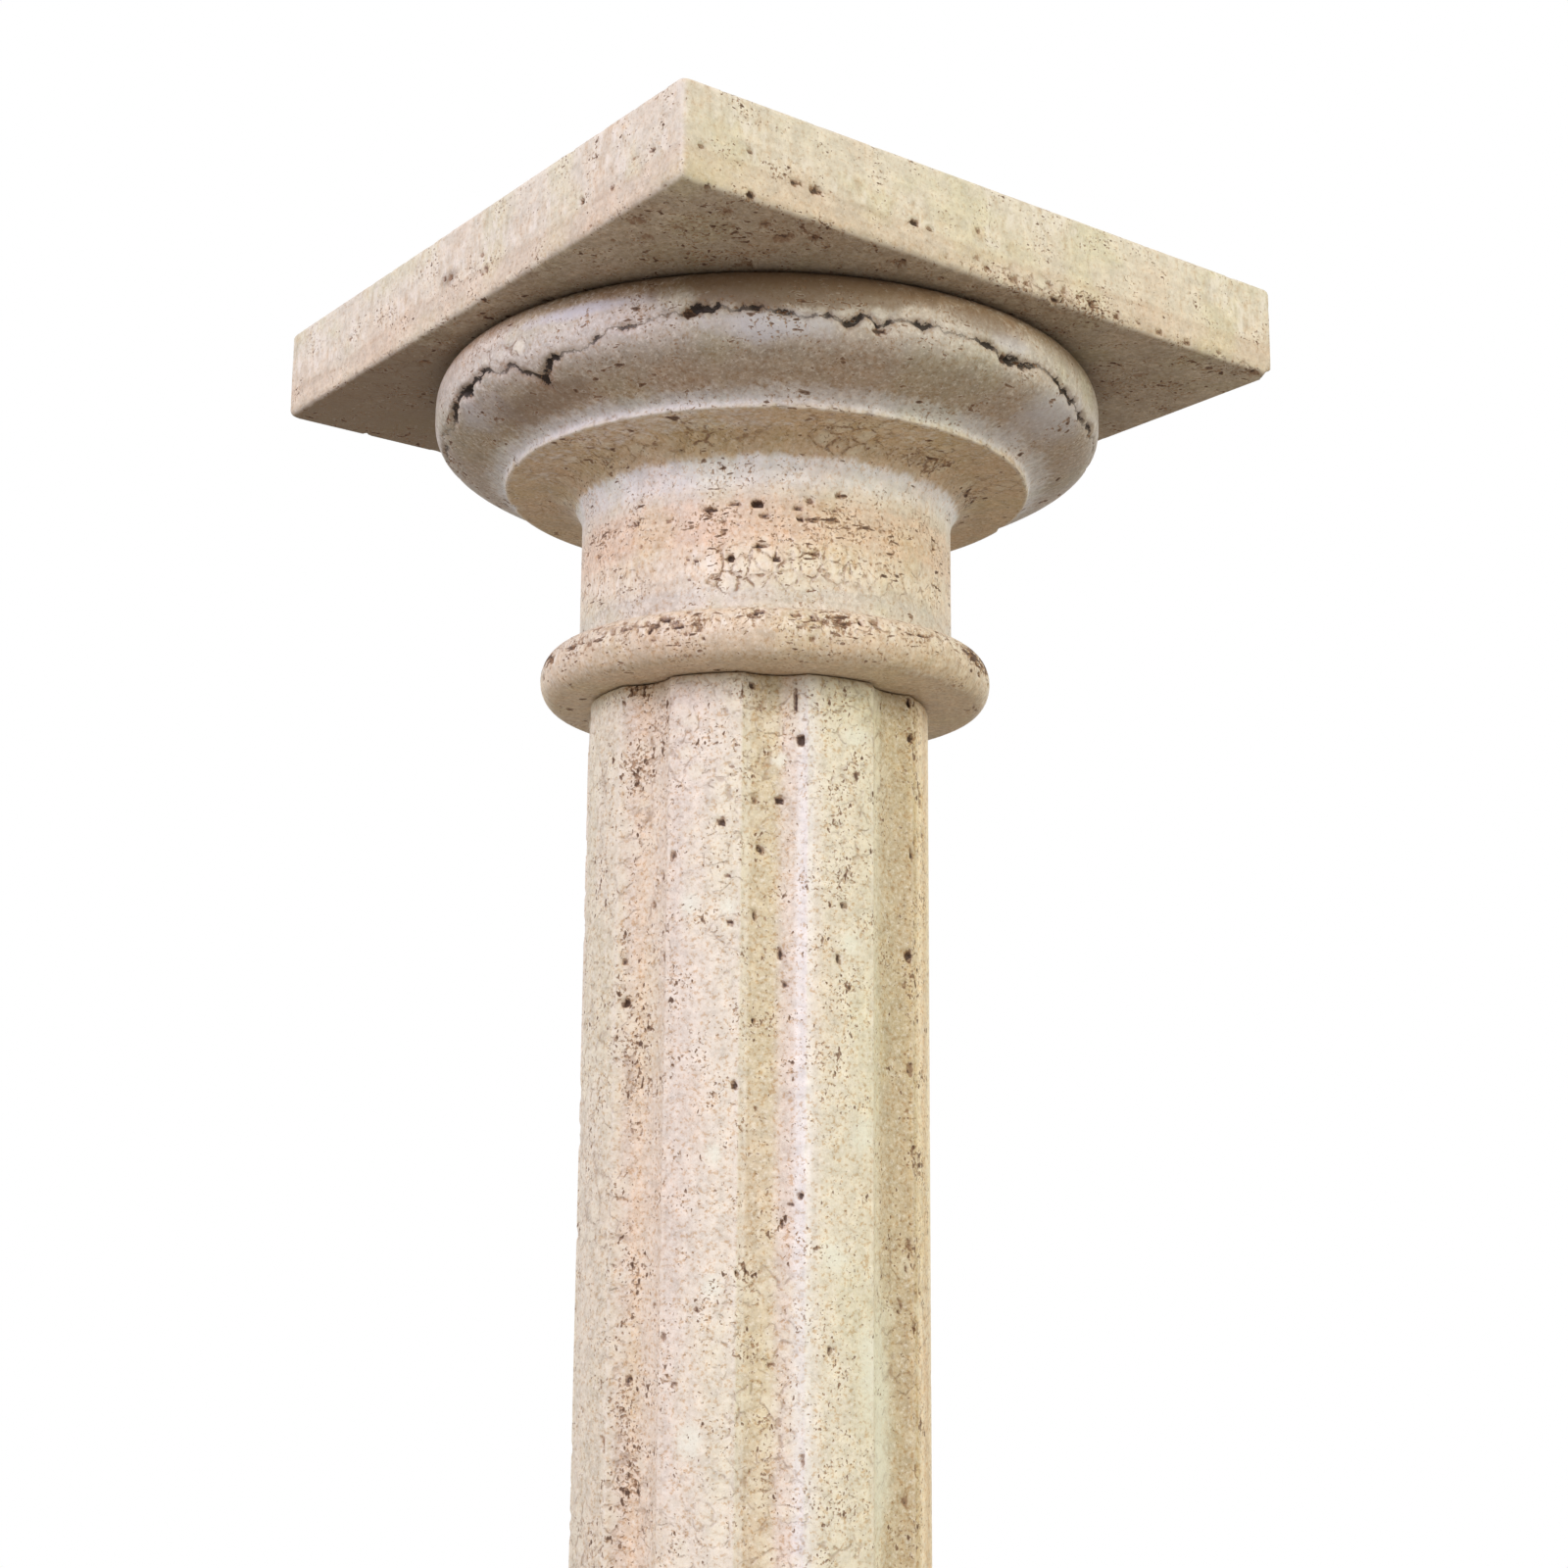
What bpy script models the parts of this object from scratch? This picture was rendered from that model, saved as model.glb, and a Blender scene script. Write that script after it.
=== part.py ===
"""A small fluted column in travertine: plinth, base, shaft, capital and abacus.

Metres, +Z up. The origin is the centre of the plinth's underside, and the sides of
the plinth and the abacus lie along X and Y.
"""

import math

import bpy

# Stacking
JOINT_GAP = 0.0003

# Plinth, the square slab underfoot; its side follows from the torus that it carries
PLINTH_MARGIN = 0.0325
PLINTH_HEIGHT = 0.040

# Base, a turned torus under a listel
SEAT_MARGIN = 0.004
APOPHYGE = 0.006
LISTEL_LEDGE = 0.006
LISTEL_HEIGHT = 0.009
TORUS_PROJECTION = 0.031
TORUS_HEIGHT = 0.038
TORUS_SHOULDER = 0.004

# Shaft, a drum with shallow segmental flutes between broad round lands
SHAFT_RADIUS = 0.0705
SHAFT_HEIGHT = 0.9295
SHAFT_OFFSET_X = -0.0024
SHAFT_OFFSET_Y = 0.0018
FLUTE_COUNT = 8
FLUTE_WIDTH = 0.0255
FLUTE_DEPTH = 0.0052
FLUTE_TURN = math.radians(14.0)

# Capital, from its joint with the shaft up to its joint with the abacus
NECK_PROJECTION = 0.0068
NECK_HEIGHT = 0.0717
RING_PROJECTION = 0.0157
RING_HEIGHT = 0.0209
RING_COVE_WIDTH = 0.0078
RING_COVE_HEIGHT = 0.004
CAVETTO_RADIUS = 0.0165
FILLET_PROJECTION = 0.0326
FILLET_HEIGHT = 0.0023
ECHINUS_PROJECTION = 0.0298
ECHINUS_SWEEP_HEIGHT = 0.0293
ECHINUS_FULLNESS = 2.2
SHOULDER_WIDTH = 0.0094
SHOULDER_HEIGHT = 0.0135

# Abacus, the square slab on top; its side follows from the echinus that carries it
ABACUS_MARGIN = 0.0103
ABACUS_HEIGHT = 0.0386

# Finish of the two slabs' edges
SLAB_ARRIS = 0.002
SLAB_ARRIS_SEGMENTS = 3

# Facets
TURNING_STEPS = 64
ROUND_STEPS = 10
SWEEP_STEPS = 12
QUARTER_STEPS = 5
LAND_STEPS = 5
FLUTE_STEPS = 8
MERGE_DISTANCE = 0.00005
SHARP_ANGLE = math.radians(35.0)

# Colour, roughness and metallic value of each piece's stone
STONES = {
    "plinth": ((0.60, 0.47, 0.34), 0.62, 0.0),
    "base": ((0.60, 0.49, 0.37), 0.58, 0.0),
    "shaft": ((0.62, 0.50, 0.37), 0.60, 0.0),
    "capital": ((0.56, 0.47, 0.37), 0.55, 0.0),
    "abacus": ((0.63, 0.49, 0.36), 0.62, 0.0),
}


def clear_scene():
    """Remove every object the file opens with."""
    for obj in list(bpy.data.objects):
        bpy.data.objects.remove(obj, do_unlink=True)


def stone(name):
    """Make the stone of one piece from its entry in STONES."""
    colour, roughness, metallic = STONES[name]
    material = bpy.data.materials.new(f"{name}_travertine")
    material.use_nodes = True
    shader = material.node_tree.nodes["Principled BSDF"]
    shader.inputs["Base Color"].default_value = (*colour, 1.0)
    shader.inputs["Roughness"].default_value = roughness
    shader.inputs["Metallic"].default_value = metallic
    material.diffuse_color = (*colour, 1.0)
    return material


def place(name, data, collection, height):
    """Add one piece with its own stone, its local zero at the given height."""
    obj = bpy.data.objects.new(name, data)
    collection.objects.link(obj)
    obj.location.z = height
    data.materials.append(stone(name))
    return obj


def arc(centre, radii, start, sweep, steps):
    """Points along an ellipse from the start angle through the sweep, both in degrees."""
    points = []
    for step in range(steps + 1):
        angle = math.radians(start + sweep * step / steps)
        x = centre[0] + radii[0] * math.cos(angle)
        z = centre[1] + radii[1] * math.sin(angle)
        points.append((x, z))
    return points


def echinus_sweep(inner, top):
    """The long S of the echinus: a full belly that turns into a short hollow."""
    points = []
    for step in range(SWEEP_STEPS + 1):
        drop = step / SWEEP_STEPS
        swell = 0.5 + 0.5 * math.cos(math.pi * drop**ECHINUS_FULLNESS)
        points.append((inner + ECHINUS_PROJECTION * swell, top - ECHINUS_SWEEP_HEIGHT * drop))
    return points


def neck_radius():
    """The capital's neck stands a little proud of the shaft."""
    return SHAFT_RADIUS + NECK_PROJECTION


def belly_radius():
    """The echinus at its fullest, just under the abacus."""
    return neck_radius() + FILLET_PROJECTION + ECHINUS_PROJECTION


def torus_radius():
    """The base at its widest, just above the plinth."""
    return SHAFT_RADIUS + SEAT_MARGIN + APOPHYGE + LISTEL_LEDGE + TORUS_PROJECTION


def capital_height():
    """The capital's height, from its joint with the shaft to its joint with the abacus."""
    echinus = SHOULDER_HEIGHT + ECHINUS_SWEEP_HEIGHT + FILLET_HEIGHT
    return RING_HEIGHT + NECK_HEIGHT + echinus


def capital_outline():
    """The capital's outer side, top to bottom, as pairs of radius and height."""
    neck = neck_radius()
    fillet = neck + FILLET_PROJECTION
    belly_height = capital_height() - SHOULDER_HEIGHT
    soffit = RING_HEIGHT + NECK_HEIGHT
    hollow = min(CAVETTO_RADIUS, FILLET_PROJECTION, NECK_HEIGHT / 2.0)
    cove = min(RING_COVE_WIDTH, RING_PROJECTION / 2.0)
    roll = RING_PROJECTION - cove

    shoulder_centre = (belly_radius() - SHOULDER_WIDTH, belly_height)
    hollow_centre = (neck + hollow, soffit - hollow)
    cove_centre = (neck + cove, RING_HEIGHT + RING_COVE_HEIGHT)
    roll_centre = (neck + cove, RING_HEIGHT / 2.0)

    outline = arc(shoulder_centre, (SHOULDER_WIDTH, SHOULDER_HEIGHT), 90.0, -90.0, QUARTER_STEPS)
    outline += echinus_sweep(fillet, belly_height)[1:]
    outline.append((fillet, soffit))
    outline += arc(hollow_centre, (hollow, hollow), 90.0, 90.0, QUARTER_STEPS)
    outline += arc(cove_centre, (cove, RING_COVE_HEIGHT), 180.0, 90.0, QUARTER_STEPS)
    outline += arc(roll_centre, (roll, RING_HEIGHT / 2.0), 90.0, -180.0, ROUND_STEPS)[1:]
    return outline


def base_height():
    """The base's height, from the plinth to its joint with the shaft."""
    return TORUS_HEIGHT + LISTEL_HEIGHT + APOPHYGE


def base_outline():
    """The base's outer side, top to bottom, as pairs of radius and height."""
    ledge = TORUS_HEIGHT + LISTEL_HEIGHT
    foot = SHAFT_RADIUS + SEAT_MARGIN + APOPHYGE
    listel = foot + LISTEL_LEDGE
    shoulder = listel + TORUS_SHOULDER
    roll = TORUS_PROJECTION - TORUS_SHOULDER

    outline = arc((foot, base_height()), (APOPHYGE, APOPHYGE), 180.0, 90.0, QUARTER_STEPS)
    outline += [(listel, ledge), (listel, TORUS_HEIGHT)]
    roll_centre = (shoulder, TORUS_HEIGHT / 2.0)
    outline += arc(roll_centre, (roll, TORUS_HEIGHT / 2.0), 90.0, -180.0, ROUND_STEPS)
    return outline


def turn(name, outline, collection, bottom):
    """Turn an outline about Z into a closed piece, with flat ends on the axis."""
    points = [(0.0, outline[0][1])] + outline + [(0.0, outline[-1][1])]
    profile = bpy.data.meshes.new(f"{name}_profile")
    vertices = [(x, 0.0, z) for x, z in points]
    edges = [(index, index + 1) for index in range(len(points) - 1)]
    profile.from_pydata(vertices, edges, [])
    obj = place(name, profile, collection, bottom)
    screw = obj.modifiers.new("turning", "SCREW")
    screw.axis = "Z"
    screw.angle = 2.0 * math.pi
    screw.steps = TURNING_STEPS
    screw.render_steps = TURNING_STEPS
    screw.use_merge_vertices = True
    screw.merge_threshold = MERGE_DISTANCE
    screw.use_smooth_shade = True
    depsgraph = bpy.context.evaluated_depsgraph_get()
    turned = bpy.data.meshes.new_from_object(obj.evaluated_get(depsgraph))
    turned.name = name
    obj.modifiers.clear()
    obj.data = turned
    bpy.data.meshes.remove(profile)
    turned.shade_smooth()
    turned.set_sharp_from_angle(angle=SHARP_ANGLE)
    return obj


def shaft_outline():
    """The shaft's section: round lands between flutes, each flute an arc of a circle."""
    pitch = 2.0 * math.pi / FLUTE_COUNT
    half_width = FLUTE_WIDTH / 2.0
    half_angle = math.asin(half_width / SHAFT_RADIUS)
    chord_distance = SHAFT_RADIUS * math.cos(half_angle)
    chord_depth = chord_distance - (SHAFT_RADIUS - FLUTE_DEPTH)
    arc_radius = (half_width**2 + chord_depth**2) / (2.0 * chord_depth)
    arc_centre = chord_distance + arc_radius - chord_depth
    arc_half_angle = math.asin(half_width / arc_radius)
    points = []
    for flute in range(FLUTE_COUNT):
        middle = FLUTE_TURN + flute * pitch
        for step in range(FLUTE_STEPS + 1):
            sweep = arc_half_angle * (2.0 * step / FLUTE_STEPS - 1.0)
            along = arc_centre - arc_radius * math.cos(sweep)
            across = arc_radius * math.sin(sweep)
            x = along * math.cos(middle) - across * math.sin(middle)
            y = along * math.sin(middle) + across * math.cos(middle)
            points.append((x, y))
        for step in range(1, LAND_STEPS):
            angle = middle + half_angle + (pitch - 2.0 * half_angle) * step / LAND_STEPS
            points.append((SHAFT_RADIUS * math.cos(angle), SHAFT_RADIUS * math.sin(angle)))
    return points


def make_shaft(collection, bottom):
    """Extrude the fluted section to the shaft's height and close its ends."""
    outline = shaft_outline()
    curve = bpy.data.curves.new("shaft_section", "CURVE")
    curve.dimensions = "2D"
    curve.fill_mode = "BOTH"
    curve.extrude = SHAFT_HEIGHT / 2.0
    spline = curve.splines.new("POLY")
    spline.points.add(len(outline) - 1)
    for point, (x, y) in zip(spline.points, outline):
        point.co = (x, y, 0.0, 1.0)
    spline.use_cyclic_u = True
    section = place("shaft", curve, collection, bottom + SHAFT_HEIGHT / 2.0)
    section.location.x = SHAFT_OFFSET_X
    section.location.y = SHAFT_OFFSET_Y
    return section


def make_slab(name, side, height, collection, bottom):
    """A square slab with its edges eased all round."""
    bpy.ops.mesh.primitive_cube_add(size=1.0)
    slab = bpy.context.object
    slab.name = name
    slab.data.name = name
    for owner in list(slab.users_collection):
        owner.objects.unlink(slab)
    collection.objects.link(slab)
    slab.scale = (side, side, height)
    bpy.context.view_layer.update()
    bpy.ops.object.transform_apply(location=False, rotation=False, scale=True)
    slab.location = (0.0, 0.0, bottom + height / 2.0)
    slab.data.materials.append(stone(name))
    arris = slab.modifiers.new("eased_edges", "BEVEL")
    arris.width = SLAB_ARRIS
    arris.segments = SLAB_ARRIS_SEGMENTS
    arris.limit_method = "ANGLE"
    return slab


def build():
    """Stack the five pieces, each a joint's gap above the one that carries it."""
    clear_scene()
    column = bpy.data.collections.new("doric_column")
    bpy.context.scene.collection.children.link(column)

    plinth_side = 2.0 * (torus_radius() + PLINTH_MARGIN)
    make_slab("plinth", plinth_side, PLINTH_HEIGHT, column, 0.0)
    base_bottom = PLINTH_HEIGHT + JOINT_GAP
    turn("base", base_outline(), column, base_bottom)
    shaft_bottom = base_bottom + base_height() + JOINT_GAP
    make_shaft(column, shaft_bottom)
    capital_bottom = shaft_bottom + SHAFT_HEIGHT + JOINT_GAP
    turn("capital", capital_outline(), column, capital_bottom)
    abacus_bottom = capital_bottom + capital_height() + JOINT_GAP
    abacus_side = 2.0 * (belly_radius() + ABACUS_MARGIN)
    make_slab("abacus", abacus_side, ABACUS_HEIGHT, column, abacus_bottom)


build()
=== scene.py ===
"""Dresses a small travertine column: relief and stone for its five pieces, floor, light and camera.

Every piece is a closed skin worked out from its solid's own sizes: rings of points walked from the
middle of the top to the middle of the underside. The skin is then sunk inwards, never outwards, where
the stone has pores, a fissure, chips or worn edges.
"""

import itertools
import logging
import math
from dataclasses import dataclass, field
from enum import Enum
from typing import Sequence

import bpy
import numpy as np
from mathutils import Matrix, Vector


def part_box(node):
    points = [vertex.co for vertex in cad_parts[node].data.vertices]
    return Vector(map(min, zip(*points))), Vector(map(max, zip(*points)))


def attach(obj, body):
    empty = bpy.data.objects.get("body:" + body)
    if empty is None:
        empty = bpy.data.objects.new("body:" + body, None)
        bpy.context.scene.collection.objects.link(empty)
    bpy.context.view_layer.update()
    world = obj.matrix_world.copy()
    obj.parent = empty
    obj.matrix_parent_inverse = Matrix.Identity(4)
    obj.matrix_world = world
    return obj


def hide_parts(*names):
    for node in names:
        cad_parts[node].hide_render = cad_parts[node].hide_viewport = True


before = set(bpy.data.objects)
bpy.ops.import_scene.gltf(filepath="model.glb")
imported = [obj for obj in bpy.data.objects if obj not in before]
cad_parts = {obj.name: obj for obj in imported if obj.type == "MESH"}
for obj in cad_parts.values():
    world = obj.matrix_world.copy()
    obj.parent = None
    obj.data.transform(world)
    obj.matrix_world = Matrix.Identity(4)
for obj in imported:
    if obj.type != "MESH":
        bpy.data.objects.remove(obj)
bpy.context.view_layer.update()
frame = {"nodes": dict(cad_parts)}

LOG = logging.getLogger("column")
MILLIMETRE = 0.001
FULL_TURN = 2.0 * math.pi
VIEW_AZIMUTH = math.radians(-126.79)
SHAFT_BED_AZIMUTH = math.radians(-36.79)

HUB = 0.004  # radius of the rings next to the axis, in metres
COARSE_RINGS, CLOSE_RINGS = 0.0034, 0.0019  # point spacings with no relief and with all of it
# Pores sunk into the skin are coloured by their depth: their own brown, deepening into painted shade.
FULL_PORE = 0.003  # depth at which a pore is darkest, in metres

Array = np.ndarray
Socket = bpy.types.NodeSocket
Pair = tuple[float, float]
Triple = tuple[float, float, float]
Tone = Triple


class Mark(Enum):
    """The values that a skin carries for its stone, one number at each point."""

    WARP = "warp"
    TINT = "tint"
    CROWD = "crowd"
    PEBBLE = "pebble"
    FEATHER = "feather"
    PORE = "pore"
    EDGE = "edge"
    SEAM = "seam"
    GAPE = "gape"
    # pale patches on the shaft, and painted sheen on the capital's echinus
    PALE_PATCH_AND_SHEEN = "pale_patch_and_sheen"
    # brown stains, and painted shade under the abacus, in the echinus's hollow and on the abacus's underside
    STAIN_AND_SHADE = "stain_and_shade"


class Grain(float, Enum):
    """Metres to a cell of the noises that shape the relief and the marks."""

    PORE = 0.0016
    SPOT = 0.0020
    CHIP = 0.006
    RIPPLE = 0.011
    SPOT_OUTLINE = 0.012
    TINT = 0.024
    SWELL = 0.10


class Scale(float, Enum):
    """Cells to a metre of the noises in the stone's colour."""

    CLOUD = 75.0
    WISP = 120.0
    MOTTLE = 210.0
    WORN = 300.0
    SMALL_PORE = 380.0
    MARK_EDGE = 430.0
    SPECKLE = 560.0
    PORE_EDGE = 620.0
    FLECK = 820.0


# Noise and pores, worked out in whole arrays


def hashed(cells: Array, seed: int) -> Array:
    """Give each cell a number from 0 to 1: its indices times odd constants, mixed by shifts.

    Args:
        cells: whole cell indices, three to a row.
        seed: picks one of many unlike patterns.

    Returns:
        One number from 0 to 1 for each row.
    """
    x, y, z = (cells[..., axis].astype(np.int64).astype(np.uint32) for axis in range(3))
    mixed = x * np.uint32(0x8DA6B343) ^ y * np.uint32(0xD8163841) ^ z * np.uint32(0xCB1AB31F)
    mixed = mixed ^ np.uint32((seed * 0x9E3779B1) & 0xFFFFFFFF)
    for shift, factor in ((15, 0x2C1B3C6D), (12, 0x297A2D39), (15, 0x85EBCA6B)):
        mixed = (mixed ^ (mixed >> np.uint32(shift))) * np.uint32(factor)
    mixed = mixed ^ (mixed >> np.uint32(16))
    return mixed.astype(np.float64) / 2.0**32


def soft_noise(points: Array, seed: int, octaves: int = 3) -> Array:
    """Sum eased lattice noise over octaves, each twice as fine and half as strong.

    Args:
        points: places in units of the coarsest cell, three numbers to a row.
        seed: picks the pattern.
        octaves: how many layers are summed.

    Returns:
        One number from 0 to 1 for each row, near 0.5 on the whole.
    """
    total = np.zeros(points.shape[:-1])
    weight_sum = 0.0
    for octave in range(octaves):
        scaled = points * 2.0**octave
        home = np.floor(scaled)
        part = scaled - home
        ease = part * part * (3.0 - 2.0 * part)
        layer = np.zeros_like(total)
        for corner in itertools.product((0, 1), repeat=3):
            near = np.where(np.array(corner) == 1, ease, 1.0 - ease)
            layer += near.prod(axis=-1) * hashed(home + corner, seed + octave)
        weight = 0.5**octave
        total += layer * weight
        weight_sum += weight
    return total / weight_sum


def smooth_step(values: Array, low: float, high: float) -> Array:
    """Rise from 0 at low to 1 at high along an S."""
    part = np.clip((values - low) / (high - low), 0.0, 1.0)
    return part * part * (3.0 - 2.0 * part)


@dataclass(frozen=True)
class BedFrame:
    """Directions of a stone's beds: two along the bed plane and one across it.

    Attributes:
        along: first direction in the bed plane.
        grain: second direction in the bed plane.
        across: the bed's normal.
    """

    along: Triple
    grain: Triple
    across: Triple

    def resolve(self, points: Array) -> Array:
        """Turn places into (along, grain, across), by a dot product with each direction."""
        return points @ np.array([self.along, self.grain, self.across]).T


LEVEL_BEDS = BedFrame((1.0, 0.0, 0.0), (0.0, 1.0, 0.0), (0.0, 0.0, 1.0))


def upright_beds(azimuth: float) -> BedFrame:
    """Beds that stand on end, with their normal level and at the azimuth given in radians."""
    cosine, sine = math.cos(azimuth), math.sin(azimuth)
    return BedFrame((-sine, cosine, 0.0), (0.0, 0.0, 1.0), (cosine, sine, 0.0))


@dataclass(frozen=True)
class Band:
    """A stretch across the beds that holds more of something: pores, cracks or streaks.

    Attributes:
        middle: place across the beds, in metres.
        spread: half of the band's width, in metres.
        share: how much more it holds at its middle.
    """

    middle: float
    spread: float
    share: float


def share_across(across: Array, share: float, bands: Sequence[Band]) -> Array:
    """Add up a plain share and each band's bell curve.

    Args:
        across: places across the beds, in metres.
        share: the plain share, away from the bands.
        bands: stretches with more.

    Returns:
        The share at each place.
    """
    total = np.full(across.shape, share)
    for band in bands:
        total += band.share * np.exp(-(((across - band.middle) / band.spread) ** 2))
    return total


@dataclass(frozen=True)
class Pores:
    """Scattered pores: one to a cell at most, each an ellipsoid drawn out along the beds.

    Attributes:
        cell: size of a cell along, along the grain and across the beds, in metres.
        share: part of the cells that hold a pore away from the bands.
        bands: stretches with more pores.
        smallest: least radius, as a share of the cell.
        largest: greatest radius, as a share of the cell.
        depth: greatest depth, in metres.
        seed: picks the pattern.
    """

    cell: Triple
    share: float
    bands: tuple[Band, ...] = ()
    smallest: float = 0.12
    largest: float = 0.45
    depth: float = 0.003
    seed: int = 1

    def sink(self, places: Array) -> Array:
        """Work out how deep the pores go at each place.

        A pore's depth is its own greatest depth times the root of one less the squared distance
        from its middle, in radii. Of the pores in the 27 cells around a place, the deepest holds.

        Args:
            places: rows of (along, grain, across), in metres.

        Returns:
            Depth in metres, 0 where there is no pore.
        """
        cell = np.array(self.cell)
        ragged = np.stack([soft_noise(places / Grain.PORE, self.seed + 40 + k, 2) for k in range(3)], axis=-1)
        scaled = places / cell + 0.5 * (ragged - 0.5)
        home = np.floor(scaled)
        deepest = np.zeros(places.shape[:-1])
        for step in itertools.product((-1, 0, 1), repeat=3):
            spot = home + step
            jitter = np.stack([hashed(spot, self.seed + k) for k in range(3)], axis=-1)
            middle = spot + 0.2 + 0.6 * jitter
            size_draw = hashed(spot, self.seed + 5)
            radius = self.smallest + (self.largest - self.smallest) * size_draw**2
            share = share_across(middle[..., 2] * cell[2], self.share, self.bands)
            live = hashed(spot, self.seed + 4) < share
            distance = ((scaled - middle) ** 2).sum(axis=-1) / radius**2
            bowl = np.sqrt(np.clip(1.0 - distance, 0.0, 1.0)) * self.depth * (0.35 + 0.65 * size_draw)
            deepest = np.maximum(deepest, np.where(live, bowl, 0.0))
        return deepest


# Outlines and skins


def linked(name: str, data: bpy.types.ID) -> bpy.types.Object:
    """Make an object of a mesh, light or camera and add it to the scene.

    Args:
        name: its name.
        data: what it shows.

    Returns:
        The object.
    """
    thing = bpy.data.objects.new(name, data)
    bpy.context.scene.collection.objects.link(thing)
    return thing


def walk(points: Array, spacing: float) -> Array:
    """Space points evenly along a line of points: read each coordinate at equal arc lengths.

    Args:
        points: rows of coordinates.
        spacing: distance between the new points.

    Returns:
        The new points.
    """
    lengths = np.concatenate([[0.0], np.cumsum(np.hypot(*np.diff(points, axis=0).T))])
    count = max(2, int(round(lengths[-1] / spacing)) + 1)
    marks = np.linspace(0.0, lengths[-1], count)
    return np.stack([np.interp(marks, lengths, points[:, axis]) for axis in range(points.shape[1])], axis=1)


def line(start: Pair, end: Pair, spacing: float) -> Array:
    """Evenly spaced points on a straight line between two places, as rows of radius and height."""
    return walk(np.array([start, end]), spacing)


def bend(centre: Pair, radii: Pair, start: float, sweep: float, spacing: float) -> Array:
    """Evenly spaced points on an ellipse: centre plus radii times an angle's cosine and sine.

    Args:
        centre: radius and height of the middle.
        radii: half widths along the radius and the height.
        start: first angle in degrees.
        sweep: angle turned through in degrees.
        spacing: distance between points.

    Returns:
        Rows of radius and height.
    """
    angles = np.radians(start + sweep * np.linspace(0.0, 1.0, 41))
    x, y = centre[0] + radii[0] * np.cos(angles), centre[1] + radii[1] * np.sin(angles)
    return walk(np.stack([x, y], axis=1), spacing)


def joined(*stretches: Array) -> Array:
    """Join stretches end to end, leaving out each later stretch's first point."""
    return np.concatenate([stretches[0]] + [stretch[1:] for stretch in stretches[1:]])


def crowded_turn(count: int, crowding: float) -> Array:
    """Angles round the axis that crowd on the side in view: even angles less a sine of them.

    Args:
        count: how many angles.
        crowding: 0 for even angles, towards 1 for more of them in view.

    Returns:
        The angles in radians, in rising order.
    """
    even = np.arange(count) / count * FULL_TURN
    return even - crowding * np.sin(even - VIEW_AZIMUTH)


@dataclass
class Skin:
    """A closed surface: rings of points from the top to the underside, closed at both ends.

    Attributes:
        name: the piece's name.
        points: places, as rings by points by three.
        marks: numbers for the stone at the same points.
    """

    name: str
    points: Array
    marks: dict[Mark, Array] = field(default_factory=dict)

    def normals(self) -> Array:
        """Outward unit normals: the way down the outline crossed with the way round the ring.

        Returns:
            One unit vector for each point.
        """
        down = np.gradient(self.points, axis=0)
        around = np.roll(self.points, -1, axis=1) - np.roll(self.points, 1, axis=1)
        normal = np.cross(down, around)
        return normal / np.maximum(np.linalg.norm(normal, axis=-1, keepdims=True), 1e-12)

    def spacing(self) -> Array:
        """The wider of the two gaps at each point, to the next ring and to the next point of its ring.

        Returns:
            One distance for each point, in metres.
        """
        down = np.linalg.norm(np.gradient(self.points, axis=0), axis=-1)
        around = np.linalg.norm(np.roll(self.points, -1, axis=1) - self.points, axis=-1)
        return np.maximum(down, around)

    def sink(self, depth: Array, normals: Array) -> None:
        """Move every point inwards along its normal by its depth."""
        self.points = self.points - normals * np.maximum(depth, 0.0)[..., None]

    def faces(self) -> tuple[Array, Array]:
        """Number the corners of the four-sided faces and of the three-sided ones at the ends.

        Returns:
            Rows of four and rows of three corner numbers.
        """
        rings, around = self.points.shape[:2]
        ring, point = np.meshgrid(np.arange(rings - 1), np.arange(around), indexing="ij")
        after = (point + 1) % around
        here, below = ring * around, (ring + 1) * around
        quads = np.stack([here + point, below + point, below + after, here + after], axis=-1)
        point = np.arange(around)
        after = (point + 1) % around
        top, bottom = rings * around, rings * around + 1
        last = (rings - 1) * around
        upper = np.stack([np.full(around, top), point, after], axis=1)
        lower = np.stack([np.full(around, bottom), last + after, last + point], axis=1)
        return quads.reshape(-1, 4), np.concatenate([upper, lower])

    def make(self) -> bpy.types.Object:
        """Put the skin into a mesh object at the origin, smooth, with its marks as attributes.

        Returns:
            The mesh object.
        """
        ends = np.stack([self.points[0].mean(axis=0), self.points[-1].mean(axis=0)])
        places = np.concatenate([self.points.reshape(-1, 3), ends])
        quads, fans = self.faces()
        sizes = np.concatenate([np.full(len(quads), 4), np.full(len(fans), 3)])
        corners = np.concatenate([quads.ravel(), fans.ravel()])
        mesh = bpy.data.meshes.new(self.name)
        mesh.vertices.add(len(places))
        mesh.vertices.foreach_set("co", places.astype(np.float32).ravel())
        mesh.loops.add(len(corners))
        mesh.loops.foreach_set("vertex_index", corners.astype(np.int32))
        mesh.polygons.add(len(sizes))
        mesh.polygons.foreach_set("loop_start", (np.cumsum(sizes) - sizes).astype(np.int32))
        mesh.update(calc_edges=True)
        for mark, values in self.marks.items():
            attribute = mesh.attributes.new(mark.value, "FLOAT", "POINT")
            padded = np.concatenate([values.ravel(), [values[0].mean(), values[-1].mean()]])
            attribute.data.foreach_set("value", padded.astype(np.float32))
        mesh.shade_smooth()
        LOG.info("%s: %d points, %d triangles", self.name, len(places), 2 * len(quads) + len(fans))
        return linked(self.name, mesh)


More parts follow.
